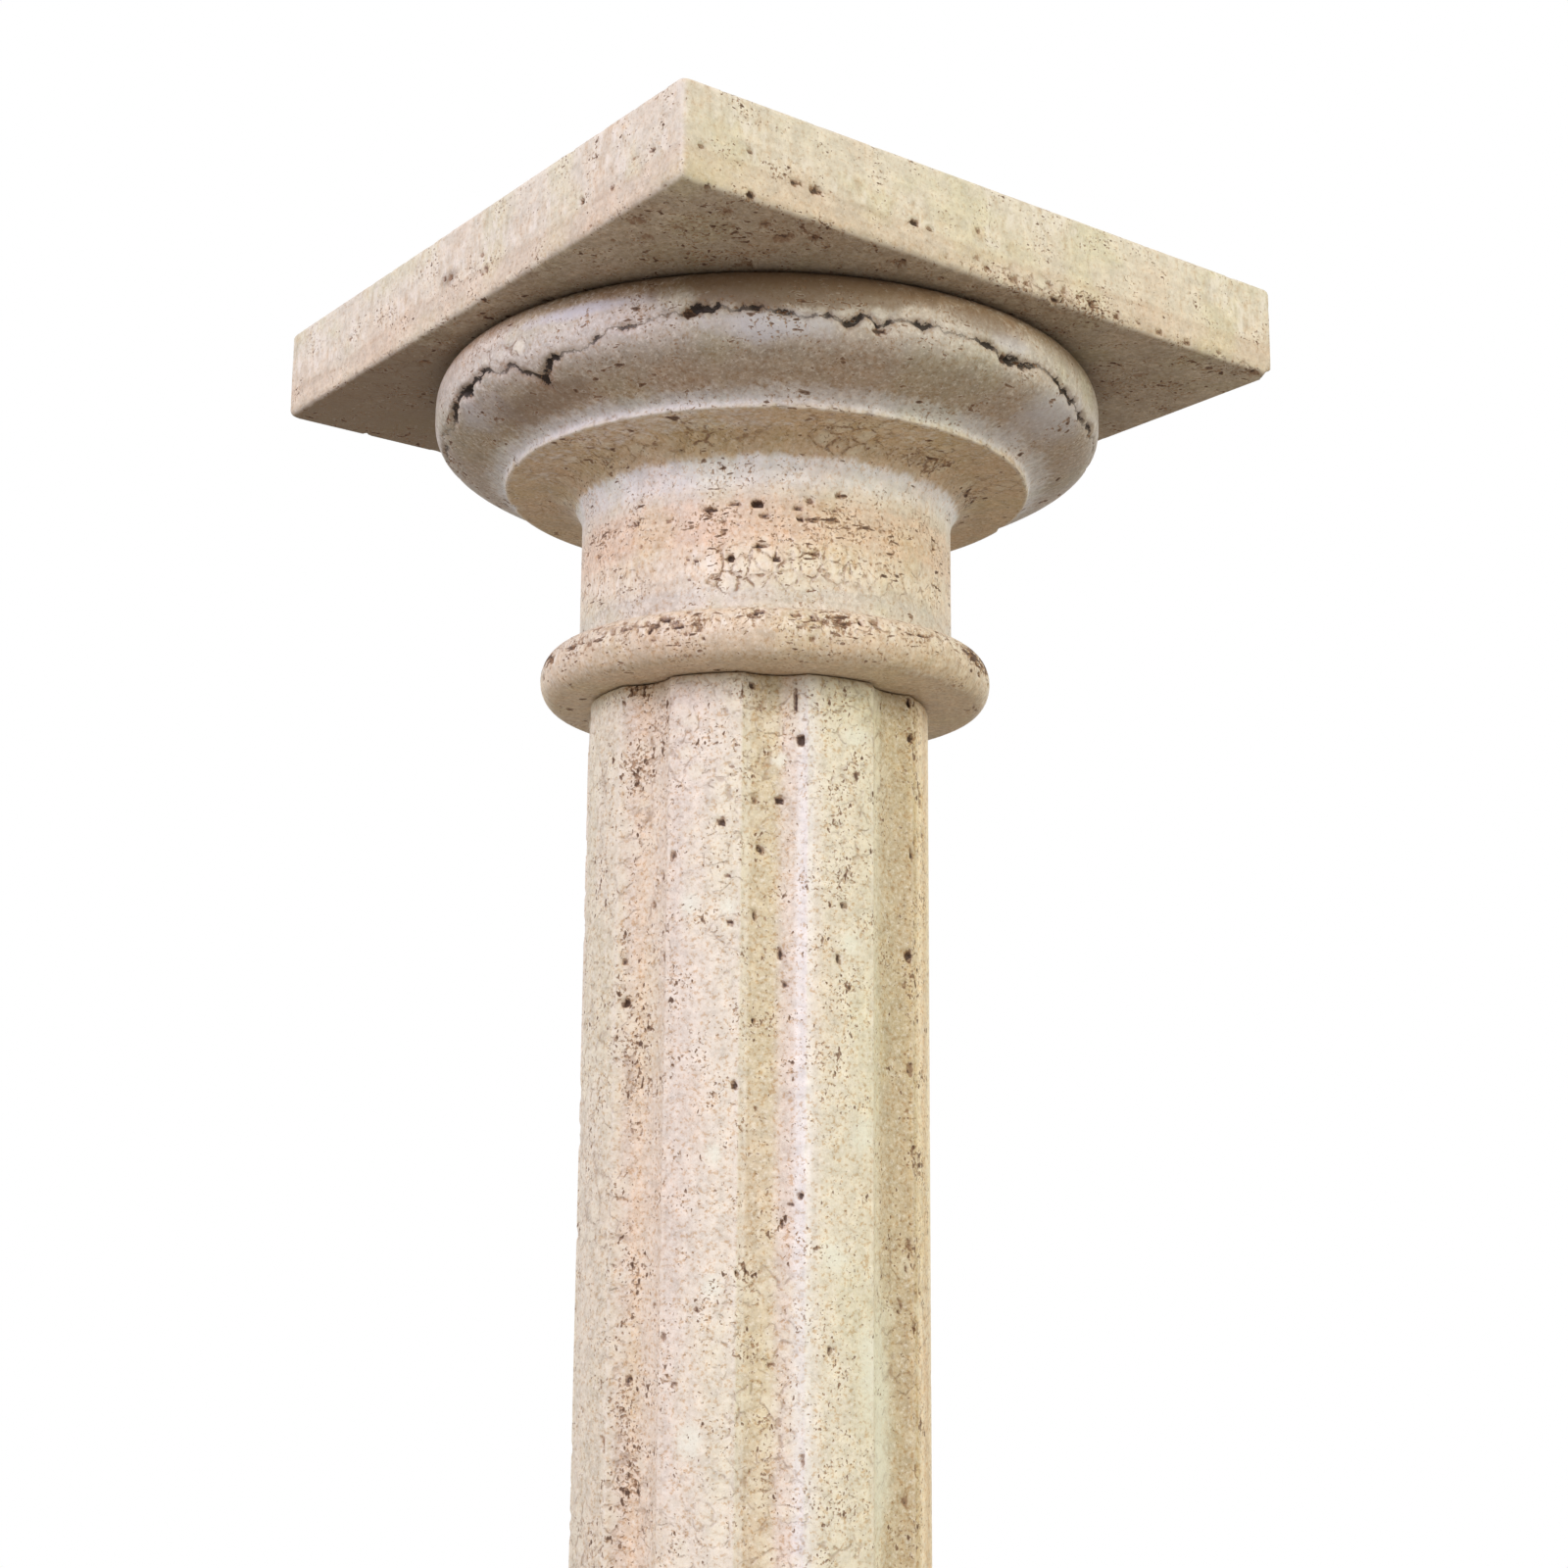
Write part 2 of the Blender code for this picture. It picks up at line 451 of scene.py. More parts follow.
def carried(name: str, section: Array, outline: Array, offset: Pair = (0.0, 0.0)) -> Skin:
    """Carry a level section along an upright outline: section times radius, at each height.

    Args:
        name: the skin's name.
        section: rows of x and y about the axis, for a radius of 1.
        outline: rows of radius and height.
        offset: the axis's place.

    Returns:
        The skin.
    """
    level = section * outline[:, 0][:, None, None] + np.array(offset)
    height = np.broadcast_to(outline[:, 1][:, None, None], (*level.shape[:2], 1))
    return Skin(name, np.concatenate([level, height], axis=-1))


# Shader maths


class Shade:
    """A number that varies over a surface: wraps a socket, and sums on it add Math nodes."""

    def __init__(self, bench: "Bench", socket: Socket) -> None:
        """Keep the socket and the bench that adds its nodes."""
        self.bench = bench
        self.socket = socket

    def _math(self, operation: str, *values: "Shade | float") -> "Shade":
        """Add one Math node on the given values and wrap its result."""
        node = self.bench.node("ShaderNodeMath", {"operation": operation}, dict(enumerate(values)))
        return Shade(self.bench, node.outputs[0])

    def __add__(self, other: "Shade | float") -> "Shade":
        """Sum."""
        return self._math("ADD", self, other)

    def __radd__(self, other: float) -> "Shade":
        """Sum with a plain number first."""
        return self._math("ADD", other, self)

    def __sub__(self, other: "Shade | float") -> "Shade":
        """Difference."""
        return self._math("SUBTRACT", self, other)

    def __rsub__(self, other: float) -> "Shade":
        """Difference with a plain number first."""
        return self._math("SUBTRACT", other, self)

    def __mul__(self, other: "Shade | float") -> "Shade":
        """Product."""
        return self._math("MULTIPLY", self, other)

    def __rmul__(self, other: float) -> "Shade":
        """Product with a plain number first."""
        return self._math("MULTIPLY", other, self)

    def __truediv__(self, other: "Shade | float") -> "Shade":
        """Quotient."""
        return self._math("DIVIDE", self, other)

    def __abs__(self) -> "Shade":
        """Size without its sign."""
        return self._math("ABSOLUTE", self)

    def most(self, other: "Shade | float") -> "Shade":
        """The larger of two."""
        return self._math("MAXIMUM", self, other)

    def ramp(self, low: float, high: float) -> "Shade":
        """Rise from 0 at low to 1 at high along an S; falls where low is the larger.

        Args:
            low: number that gives 0.
            high: number that gives 1.

        Returns:
            The eased number.
        """
        inputs = {"Value": self, "From Min": low, "From Max": high}
        node = self.bench.node("ShaderNodeMapRange", {"interpolation_type": "SMOOTHSTEP"}, inputs)
        return Shade(self.bench, node.outputs["Result"])


class Bench:
    """Adds nodes to one tree, a material's or the surround's."""

    def __init__(self, tree: bpy.types.NodeTree) -> None:
        """Keep the tree."""
        self.tree = tree

    def node(self, kind: str, settings: dict, inputs: dict) -> bpy.types.Node:
        """Add a node.

        Args:
            kind: Blender's name of the node type.
            settings: the node's own settings, set before its sockets; "stops" are a ramp's
                pairs of position and colour.
            inputs: values or links, by socket name or number.

        Returns:
            The new node.
        """
        node = self.tree.nodes.new(kind)
        for name, value in settings.items():
            if name == "stops":
                self._set_stops(node.color_ramp, value)
            else:
                setattr(node, name, value)
        for name, value in inputs.items():
            socket = node.inputs[name]
            if isinstance(value, Shade):
                self.tree.links.new(value.socket, socket)
            elif isinstance(value, Socket):
                self.tree.links.new(value, socket)
            else:
                socket.default_value = value
        return node

    def _set_stops(self, ramp: bpy.types.ColorRamp, stops: Sequence[tuple[float, Tone]]) -> None:
        """Give a ramp its stops, with eased steps between them.

        Args:
            ramp: the ramp.
            stops: its positions and colours.
        """
        ramp.interpolation = "EASE"
        for _ in stops[2:]:
            ramp.elements.new(0.5)
        for element, (position, _) in zip(ramp.elements, stops):
            element.position = position
        for element, (_, tone) in zip(ramp.elements, stops):
            element.color = (*tone, 1.0)

    def ramp(self, value: "Shade", stops: Sequence[tuple[float, Tone]]) -> Socket:
        """Turn a number into a colour by stops at rising numbers.

        Args:
            value: the number.
            stops: rising numbers and their colours.

        Returns:
            The colour.
        """
        low, high = stops[0][0], stops[-1][0]
        placed = [((at - low) / (high - low), tone) for at, tone in stops]
        share = (value - low) / (high - low)
        return self.node("ShaderNodeValToRGB", {"stops": placed}, {0: share}).outputs[0]


class StoneBench(Bench):
    """Builds one stone's material."""

    def __init__(self, name: str) -> None:
        """Start a material with its shader and its place on the object.

        Args:
            name: the material's name.
        """
        self.material = bpy.data.materials.new(name)
        self.material.use_nodes = True
        super().__init__(self.material.node_tree)
        self.shader = self.tree.nodes["Principled BSDF"]
        self.place = self.node("ShaderNodeTexCoord", {}, {}).outputs["Object"]

    def vector_maths(self, operation: str, inputs: dict) -> bpy.types.Node:
        """A Vector Math node."""
        return self.node("ShaderNodeVectorMath", {"operation": operation}, inputs)

    def dot(self, direction: Triple) -> Shade:
        """The place's distance along a direction."""
        return Shade(self, self.vector_maths("DOT_PRODUCT", {0: self.place, 1: direction}).outputs["Value"])

    def combine(self, x: Shade, y: Shade, z: Shade) -> Socket:
        """Put three numbers into one vector."""
        return self.node("ShaderNodeCombineXYZ", {}, {"X": x, "Y": y, "Z": z}).outputs[0]

    def stretched(self, vector: Socket, factors: Triple) -> Socket:
        """Scale a vector by a factor for each axis."""
        return self.vector_maths("MULTIPLY", {0: vector, 1: factors}).outputs[0]

    def shaken(self, vector: Socket, scale: float, amount: float) -> Socket:
        """Shift a vector by noise: adds amount times centred noise of the given scale.

        Args:
            vector: the place.
            scale: cells to a unit.
            amount: how far the noise moves it.

        Returns:
            The moved place.
        """
        noise = self.node("ShaderNodeTexNoise", {}, {"Vector": vector, "Scale": scale, "Detail": 1.0})
        centred = self.vector_maths("SUBTRACT", {0: noise.outputs["Color"], 1: (0.5,) * 3}).outputs[0]
        return self.vector_maths("MULTIPLY_ADD", {0: centred, 1: (amount,) * 3, 2: vector}).outputs[0]

    def noise(self, vector: Socket, scale: float, detail: float = 2.0, rough: float = 0.6) -> Shade:
        """Cloudy noise from 0 to 1."""
        inputs = {"Vector": vector, "Scale": scale, "Detail": detail, "Roughness": rough}
        return Shade(self, self.node("ShaderNodeTexNoise", {}, inputs).outputs[0])

    def voronoi(self, feature: str, vector: Socket, scale: float) -> bpy.types.Node:
        """A node of scattered cells."""
        return self.node("ShaderNodeTexVoronoi", {"feature": feature}, {"Vector": vector, "Scale": scale})

    def cells(self, vector: Socket, scale: float) -> tuple[Shade, Shade]:
        """Scattered cells: the distance to the nearest middle, and a number drawn for each cell.

        Args:
            vector: the place.
            scale: cells to a unit.

        Returns:
            The distance and the draw.
        """
        node = self.voronoi("F1", vector, scale)
        split = self.node("ShaderNodeSeparateColor", {}, {"Color": node.outputs["Color"]})
        return Shade(self, node.outputs["Distance"]), Shade(self, split.outputs[0])

    def borders(self, vector: Socket, scale: float) -> Shade:
        """The distance to the border between neighbouring cells."""
        return Shade(self, self.voronoi("DISTANCE_TO_EDGE", vector, scale).outputs["Distance"])

    def mark(self, mark: Mark) -> Shade:
        """One of the skin's own marks."""
        node = self.node("ShaderNodeAttribute", {"attribute_name": mark.value}, {})
        return Shade(self, node.outputs["Fac"])

    def mix(self, first: Socket, second: Socket | Tone, share: Shade, blend: str = "MIX") -> Socket:
        """Blend two colours.

        Args:
            first: the colour at share 0.
            second: the colour at share 1.
            share: how much of the second.
            blend: Blender's name of the way of blending.

        Returns:
            The blended colour.
        """
        settings = {"data_type": "RGBA", "blend_type": blend, "clamp_factor": True}
        over = (*second, 1.0) if isinstance(second, tuple) else second
        return self.node("ShaderNodeMix", settings, {0: share, 6: first, 7: over}).outputs[2]

    def dimmed(self, colour: Socket, factor: Shade) -> Socket:
        """Multiply a colour by a number."""
        return self.vector_maths("SCALE", {0: colour, "Scale": factor}).outputs[0]


@dataclass(frozen=True)
class Bed:
    """One bed's colour: its place across the beds in metres, and its tone."""

    at: float
    tone: Tone


def seen(red: float, green: float, blue: float) -> Tone:
    """A tone given as it looks on a screen, 0 to 255, turned to the shader's linear values."""
    return tuple((part / 255.0) ** 2.2 for part in (red, green, blue))


SEAM_DARK: Tone = seen(50, 40, 34)
PORE_DARK: Tone = seen(74, 54, 42)
PORE_BROWN: Tone = seen(142, 106, 76)
FLECK: Tone = seen(166, 130, 98)
PEBBLE_PALE: Tone = seen(236, 226, 200)
CHALK: Tone = seen(238, 228, 212)
BLUSH: Tone = (1.0, 0.91, 0.86)
SAGE: Tone = (0.95, 0.98, 0.83)
SPECKLE: Tone = (0.80, 0.66, 0.52)
# tone of pale patches, and of painted sheen
PATCH_AND_SHEEN_TONE: Tone = seen(205, 203, 204)
# brown of stains, and of painted shade
STAIN_AND_SHADE_TONE: Tone = seen(128, 104, 80)


@dataclass
class Layers:
    """What a stone's layers are laid with, bench and place, and its colour, height and how matt it is."""

    bench: StoneBench
    base: Socket
    colour: Socket
    height: Shade
    matt: Shade

    def lay(self, tone: Tone, share: Shade, blend: str = "MIX") -> None:
        """Blend a tone into the colour."""
        self.colour = self.bench.mix(self.colour, tone, share, blend)


@dataclass(frozen=True)
class Patch:
    """Soft patches in a stone.

    Attributes:
        size: their size, in metres.
        low: noise up to which there are none.
        high: noise from which they are full.
        step: sets their pattern apart from the stone's other patterns.
    """

    size: float
    low: float
    high: float
    step: int


CROWDED = Patch(0.016, 0.30, 0.70, 9)
PEBBLED = Patch(0.030, 0.40, 0.62, 12)
FEATHERED = Patch(0.026, 0.34, 0.58, 15)


@dataclass(frozen=True)
class Travertine:
    """Honed travertine cut from level or upright beds.

    Attributes:
        name: the material's name.
        beds: colours across the beds, in order.
        frame: the beds' directions.
        bands: stretches across the beds with more small pores.
        share: how crowded the small pores are away from the bands, 0 to 1.
        drawn: how far the colours are drawn out along the grain, 1 for not at all.
        pore_shape: how closely small pores follow on one another along, along the grain and across.
        feather: strength of the fine streaks that stand across the beds.
        feather_from: place across the beds from which the streaks show.
        feather_bands: other stretches across the beds with streaks.
        feather_shape: how fast the streaks follow on one another along, along the grain and across.
        warp: how far the beds wander, 1 for as much as 6 mm.
        fringe: how far the borders between beds are drawn out into streaks, in metres.
        pebble: strength of the pale pebbles with brown cracks between them.
        cracks: stretches across the beds with more pebbles and cracks.
        pebble_scale: pebbles to a metre.
        crack: how dark the cracks are.
        chalk: how pale the worn edges are.
        speckle: strength of the fine brown and pale speckling.
        tint: strength of the pinkish and greenish patches.
        roughness: how matt the honed face is.
        patch_and_sheen_tone: colour of its pale patches, and of the painted sheen on the capital.
        seed: picks the patches.
    """

    name: str
    beds: tuple[Bed, ...]
    frame: BedFrame = LEVEL_BEDS
    bands: tuple[Band, ...] = ()
    share: float = 0.25
    drawn: float = 1.0
    pore_shape: Triple = (1.0, 1.0, 1.7)
    feather: float = 0.3
    feather_from: float = -10.0
    feather_bands: tuple[Band, ...] = ()
    feather_shape: Triple = (520.0, 520.0, 105.0)
    warp: float = 1.0
    fringe: float = 0.0
    pebble: float = 0.5
    cracks: tuple[Band, ...] = ()
    pebble_scale: float = 150.0
    crack: float = 0.55
    chalk: float = 0.50
    speckle: float = 1.0
    tint: float = 1.0
    roughness: float = 0.52
    patch_and_sheen_tone: Tone = PATCH_AND_SHEEN_TONE
    seed: int = 900

    def patch(self, places: Array, patch: Patch) -> Array:
        """How full the patches are, 0 to 1: noise over the bed frame, raised along an S."""
        drawn = places * np.array([1.0, self.drawn, 1.0])
        return smooth_step(soft_noise(drawn / patch.size, self.seed + patch.step, 3), patch.low, patch.high)

    def marks(self, places: Array) -> dict[Mark, Array]:
        """The stone's own marks at places given as rows of (along, grain, across).

        Args:
            places: the rows.

        Returns:
            The marks' numbers at each place.
        """
        drawn = places * np.array([1.0, self.drawn, 1.0])
        wide = soft_noise(drawn / Grain.SWELL, self.seed, 2) - 0.5
        fine = soft_noise(places / Grain.RIPPLE, self.seed + 3, 3) - 0.5
        across = places[..., 2]
        crowd = share_across(across, self.share, self.bands)
        cracked = share_across(across, self.pebble, self.cracks)
        raised = smooth_step(across, self.feather_from, self.feather_from + 0.004)
        return {
            Mark.WARP: self.warp * (0.012 * wide + 0.0036 * fine),
            Mark.TINT: soft_noise(drawn / Grain.TINT, self.seed + 6, 4),
            Mark.CROWD: crowd * (0.35 + 1.3 * self.patch(places, CROWDED)),
            Mark.PEBBLE: cracked * self.patch(places, PEBBLED),
            Mark.FEATHER: share_across(across, 0.0, self.feather_bands)
            + self.feather * raised * self.patch(places, FEATHERED),
        }

    def ground(self, bench: StoneBench, base: Socket, across: Shade) -> Layers:
        """The beds' colours, thin laminae, tinted patches, mottling and speckling.

        Args:
            bench: the material's bench.
            base: the place in the beds' directions.
            across: the place across the wandering beds.

        Returns:
            The first layers.
        """
        fringe = bench.noise(bench.stretched(base, (300.0, 300.0, 34.0)), 1.0) - 0.5
        colour = bench.ramp(across + self.fringe * fringe, [(bed.at, bed.tone) for bed in self.beds])
        tint = bench.mark(Mark.TINT)
        colour = bench.mix(colour, BLUSH, tint.ramp(0.52, 0.72) * (0.75 * self.tint), "MULTIPLY")
        colour = bench.mix(colour, SAGE, tint.ramp(0.50, 0.30) * (0.80 * self.tint), "MULTIPLY")
        thin = bench.noise(bench.stretched(base, (9.0, 9.0, 420.0)), 1.0)
        mottle = bench.noise(base, Scale.MOTTLE, 3.0, 0.68)
        cloud = bench.noise(base, Scale.CLOUD, 2.0, 0.6)
        colour = bench.dimmed(colour, 0.42 + 0.20 * thin + 0.70 * mottle + 0.28 * cloud)
        speckle = bench.noise(base, Scale.SPECKLE, 2.0, 0.72)
        colour = bench.mix(colour, SPECKLE, speckle.ramp(0.51, 0.68) * self.speckle, "MULTIPLY")
        colour = bench.mix(colour, CHALK, speckle.ramp(0.47, 0.30) * (0.55 * self.speckle))
        matt = self.roughness + 0.25 * (mottle - 0.5)
        return Layers(bench, base, colour, 1.0 - 0.22 * speckle, matt)

    def lay_pebbles(self, layers: Layers) -> None:
        """Pale rounded pebbles, and brown cracks that run between them in places.

        Args:
            layers: the layers so far.
        """
        bench = layers.bench
        patch = bench.mark(Mark.PEBBLE)
        place = bench.shaken(bench.place, Scale.MOTTLE, 0.0042)
        distance, draw = bench.cells(place, self.pebble_scale)
        crowded = patch.ramp(0.9, 1.5)
        laid = patch.ramp(0.0, 1.1)
        pebble = distance.ramp(0.60, 0.20) * draw.ramp(0.30, 0.60).most(crowded * 0.8) * laid
        layers.lay(PEBBLE_PALE, pebble * 0.50)
        worn = bench.noise(bench.place, Scale.WORN, 2.0).ramp(0.42, 0.60)
        shown = draw.ramp(0.20, 0.55).most(crowded) * worn.most(crowded * 0.32)
        crack = bench.borders(place, self.pebble_scale).ramp(0.105, 0.01) * laid * shown
        layers.lay(PORE_BROWN, crack * self.crack)
        layers.height = layers.height - self.crack * crack

    def lay_feather(self, layers: Layers) -> None:
        """Fine pale and darker streaks that stand across the beds.

        Args:
            layers: the layers so far.
        """
        bench, base = layers.bench, layers.base
        feather = bench.mark(Mark.FEATHER)
        place = bench.shaken(base, Scale.WISP, 0.0030)
        streak = bench.noise(bench.stretched(place, self.feather_shape), 1.0)
        layers.lay(CHALK, streak.ramp(0.50, 0.68) * feather * 0.8)
        layers.lay(SPECKLE, streak.ramp(0.48, 0.30) * feather * 0.7, "MULTIPLY")

    def lay_pores(self, layers: Layers) -> None:
        """Small ragged pores, short brown flecks, and the skin's pores in brown and depth-painted shade.

        Args:
            layers: the layers so far.
        """
        bench, base = layers.bench, layers.base
        crowd = bench.mark(Mark.CROWD)
        long = bench.stretched(base, self.pore_shape)
        gathered = 0.090 * crowd + 0.42 * (bench.noise(base, Scale.CLOUD, 1.0, 0.5) - 0.5)
        wide = bench.noise(long, Scale.SMALL_PORE, 1.5, 0.5) + gathered
        fine = bench.noise(base, Scale.FLECK, 1.0, 0.5) + gathered
        flecked = fine.ramp(0.665, 0.81)
        small = wide.ramp(0.735, 0.785)
        rim = wide.ramp(0.67, 0.72) - wide.ramp(0.72, 0.74)
        layers.lay(CHALK, rim * 0.22)
        layers.lay(FLECK, flecked * 0.85)
        layers.lay(PORE_BROWN, wide.ramp(0.72, 0.76) * 0.75)
        layers.lay(PORE_DARK, wide.ramp(0.765, 0.84) * 0.80)
        # pores in the skin: their own brown, and painted shade that darkens with their depth
        ragged = bench.noise(bench.place, Scale.PORE_EDGE, 2.0, 0.6) - 0.5
        pore = bench.mark(Mark.PORE) + 0.9 * ragged * bench.mark(Mark.PORE).ramp(0.02, 0.25)
        layers.lay(PORE_BROWN, pore.ramp(0.07, 0.24) * 0.72)
        layers.lay(PORE_DARK, pore.ramp(0.26, 0.52) * 0.88)
        layers.height = layers.height - 0.9 * small - 0.6 * flecked
        layers.matt = layers.matt + 0.25 * small.most(flecked)

    def lay_marks(self, layers: Layers) -> None:
        """Pale patches and painted sheen, stains and painted shade, chalky worn edges and the ragged seam.

        Args:
            layers: the layers so far.
        """
        bench = layers.bench
        ragged = bench.noise(bench.place, Scale.MARK_EDGE, 3.0, 0.75)
        soft = 0.9 * (ragged - 0.5)
        # pale patches on the shaft, painted sheen on the capital
        pale_patch_and_sheen = (bench.mark(Mark.PALE_PATCH_AND_SHEEN) + soft).ramp(0.05, 1.0)
        layers.lay(self.patch_and_sheen_tone, pale_patch_and_sheen * 0.80)
        # brown stains, and painted shade under the abacus, in the echinus's hollow and on the abacus's
        # underside
        stain_and_shade = (bench.mark(Mark.STAIN_AND_SHADE) + soft).ramp(0.05, 0.95)
        layers.lay(STAIN_AND_SHADE_TONE, stain_and_shade * 0.80)
        edge = (bench.mark(Mark.EDGE) + 1.6 * soft).ramp(0.45, 1.0)
        layers.lay(CHALK, edge * self.chalk)
        # the seam's slit is painted dark as shade in the crack; the brown band beside it is a stain
        gape = bench.mark(Mark.GAPE)
        away = abs(bench.mark(Mark.SEAM) + 3.6 * (ragged - 0.5)) - 2.2 * gape
        slit = away.ramp(0.30, -0.25) * gape.ramp(-0.10, 0.45)
        stained = away.ramp(2.6, 0.2) * gape.ramp(0.02, 0.3)
        layers.lay(PORE_BROWN, stained * 0.30)
        layers.lay(SEAM_DARK, slit * 0.94)
        layers.height = layers.height - 0.9 * slit
        layers.matt = layers.matt + 0.2 * slit

    def build(self) -> bpy.types.Material:
        """Lay the stone's layers one over another and join them to the shader.

        Returns:
            The finished material.
        """
        bench = StoneBench(self.name)
        axes = (self.frame.along, self.frame.grain, self.frame.across)
        base = bench.combine(*(bench.dot(axis) for axis in axes))
        across = bench.dot(self.frame.across) + bench.mark(Mark.WARP)
        layers = self.ground(bench, base, across)
        if self.pebble:
            self.lay_pebbles(layers)
        if self.feather:
            self.lay_feather(layers)
        self.lay_marks(layers)
        self.lay_pores(layers)
        relief = {"Strength": 0.7, "Distance": 0.0010, "Height": layers.height}
        bump = bench.node("ShaderNodeBump", {}, relief).outputs[0]
        ends = {"Base Color": layers.colour, "Roughness": layers.matt.socket, "Normal": bump}
        for name, socket in ends.items():
            bench.tree.links.new(socket, bench.shader.inputs[name])
        bench.shader.inputs["Specular IOR Level"].default_value = 0.35
        return bench.material


# The column's pieces


@dataclass(frozen=True)
class Fissure:
    """A long open seam round a turned piece, given by points on its course.

    Attributes:
        course: degrees from the view's azimuth, height in millimetres over the piece's foot, and how
            wide the seam gapes there, 0 to 1.
        half_width: half of its width where it is widest, in metres.
        depth: its greatest depth, in metres.
        seed: picks the raggedness.
        lip: how far the stone on both sides draws in towards it, in metres.
        lip_width: how far from the seam it draws in, in metres.
        stray: how far the seam strays from its course at most, up and down together, in metres.
        grains: degrees to a cell of the noise that it strays by, and of the noise that breaks it up.
    """

    course: tuple[tuple[float, float, float], ...]
    half_width: float
    depth: float
    seed: int
    lip: float = 0.0008
    lip_width: float = 0.0034
    stray: float = 0.0058
    grains: Pair = (1.9, 3.1)

    def offset(self, bearing: Array, height: Array) -> Array:
        """Height over the seam: height less the course at that bearing, with ragged noise added.

        Args:
            bearing: degrees from the view's azimuth.
            height: metres over the piece's foot.

        Returns:
            Signed distance in metres.
        """
        bearings, heights, _ = (np.array(column) for column in zip(*self.course))
        course = np.interp(bearing, bearings, heights * MILLIMETRE)
        level = np.zeros_like(bearing)
        along = np.stack([bearing / self.grains[0], level, level], axis=-1)
        return height - course - (soft_noise(along, self.seed, 4) - 0.5) * self.stray

    def gape(self, bearing: Array) -> Array:
        """How wide the seam gapes at each bearing, 0 to 1: its course's own, broken up by noise.

        Args:
            bearing: degrees from the view's azimuth.

        Returns:
            The gape at each bearing.
        """
        bearings, _, gapes = (np.array(column) for column in zip(*self.course))
        level = np.zeros_like(bearing)
        along = np.stack([bearing / self.grains[1], level + 7.0, level], axis=-1)
        broken = 0.40 + 0.85 * smooth_step(soft_noise(along, self.seed + 9, 3), 0.36, 0.62)
        return np.interp(bearing, bearings, gapes) * broken


@dataclass(frozen=True)
class Spot:
    """One pore or patch at its own place: stains, painted sheen or shade, pebbles or small pores.

    Attributes:
        place: where it is, in metres.
        width: its width, in millimetres.
        tall: its height, in millimetres.
        strength: a pore's depth in millimetres, or how strongly anything else shows.
        mark: what it marks.
    """

    place: Triple
    width: float
    tall: float
    strength: float
    mark: Mark = Mark.PORE

    def closeness(self, points: Array, ragged: Array) -> Array:
        """One less the squared distance from its middle, in half widths and half heights; 0 outside.

        Args:
            points: places in metres.
            ragged: noise about 0 that shifts its outline.

        Returns:
            One number from 0 to 1 for each place.
        """
        radii = np.array([self.width, self.width, self.tall]) * 0.5 * MILLIMETRE
        distance = (((points - np.array(self.place)) / radii) ** 2).sum(axis=-1)
        return np.clip(1.0 - distance * (1.0 + 2.0 * ragged), 0.0, 1.0)


def on_round(bearing: float, height: float, radius: float, centre: Pair = (0.0, 0.0)) -> Triple:
    """A place on a round piece.

    Args:
        bearing: degrees from the view's azimuth.
        height: over the floor, in metres.
        radius: from the piece's axis, in metres.
        centre: the axis's place.

    Returns:
        The place in metres.
    """
    azimuth = VIEW_AZIMUTH + math.radians(bearing)
    return (centre[0] + radius * math.cos(azimuth), centre[1] + radius * math.sin(azimuth), height)


def bearing_of(points: Array) -> Array:
    """Degrees round the axis from the view's azimuth, from -180 to 180."""
    turned = np.degrees(np.arctan2(points[..., 1], points[..., 0]) - VIEW_AZIMUTH)
    return (turned + 180.0) % 360.0 - 180.0


def near_circle(skin: Skin, radius: float, height: float, far: float, close: float) -> Array:
    """Nearness to a level circle round the axis.

    Args:
        skin: the skin whose points are judged.
        radius: the circle's radius, in metres.
        height: its height, in metres.
        far: distance from which the nearness is 0.
        close: distance within which it is 1.

    Returns:
        One number from 0 to 1 for each point.
    """
    reach = np.hypot(skin.points[..., 0], skin.points[..., 1])
    return smooth_step(np.hypot(reach - radius, skin.points[..., 2] - height), far, close)


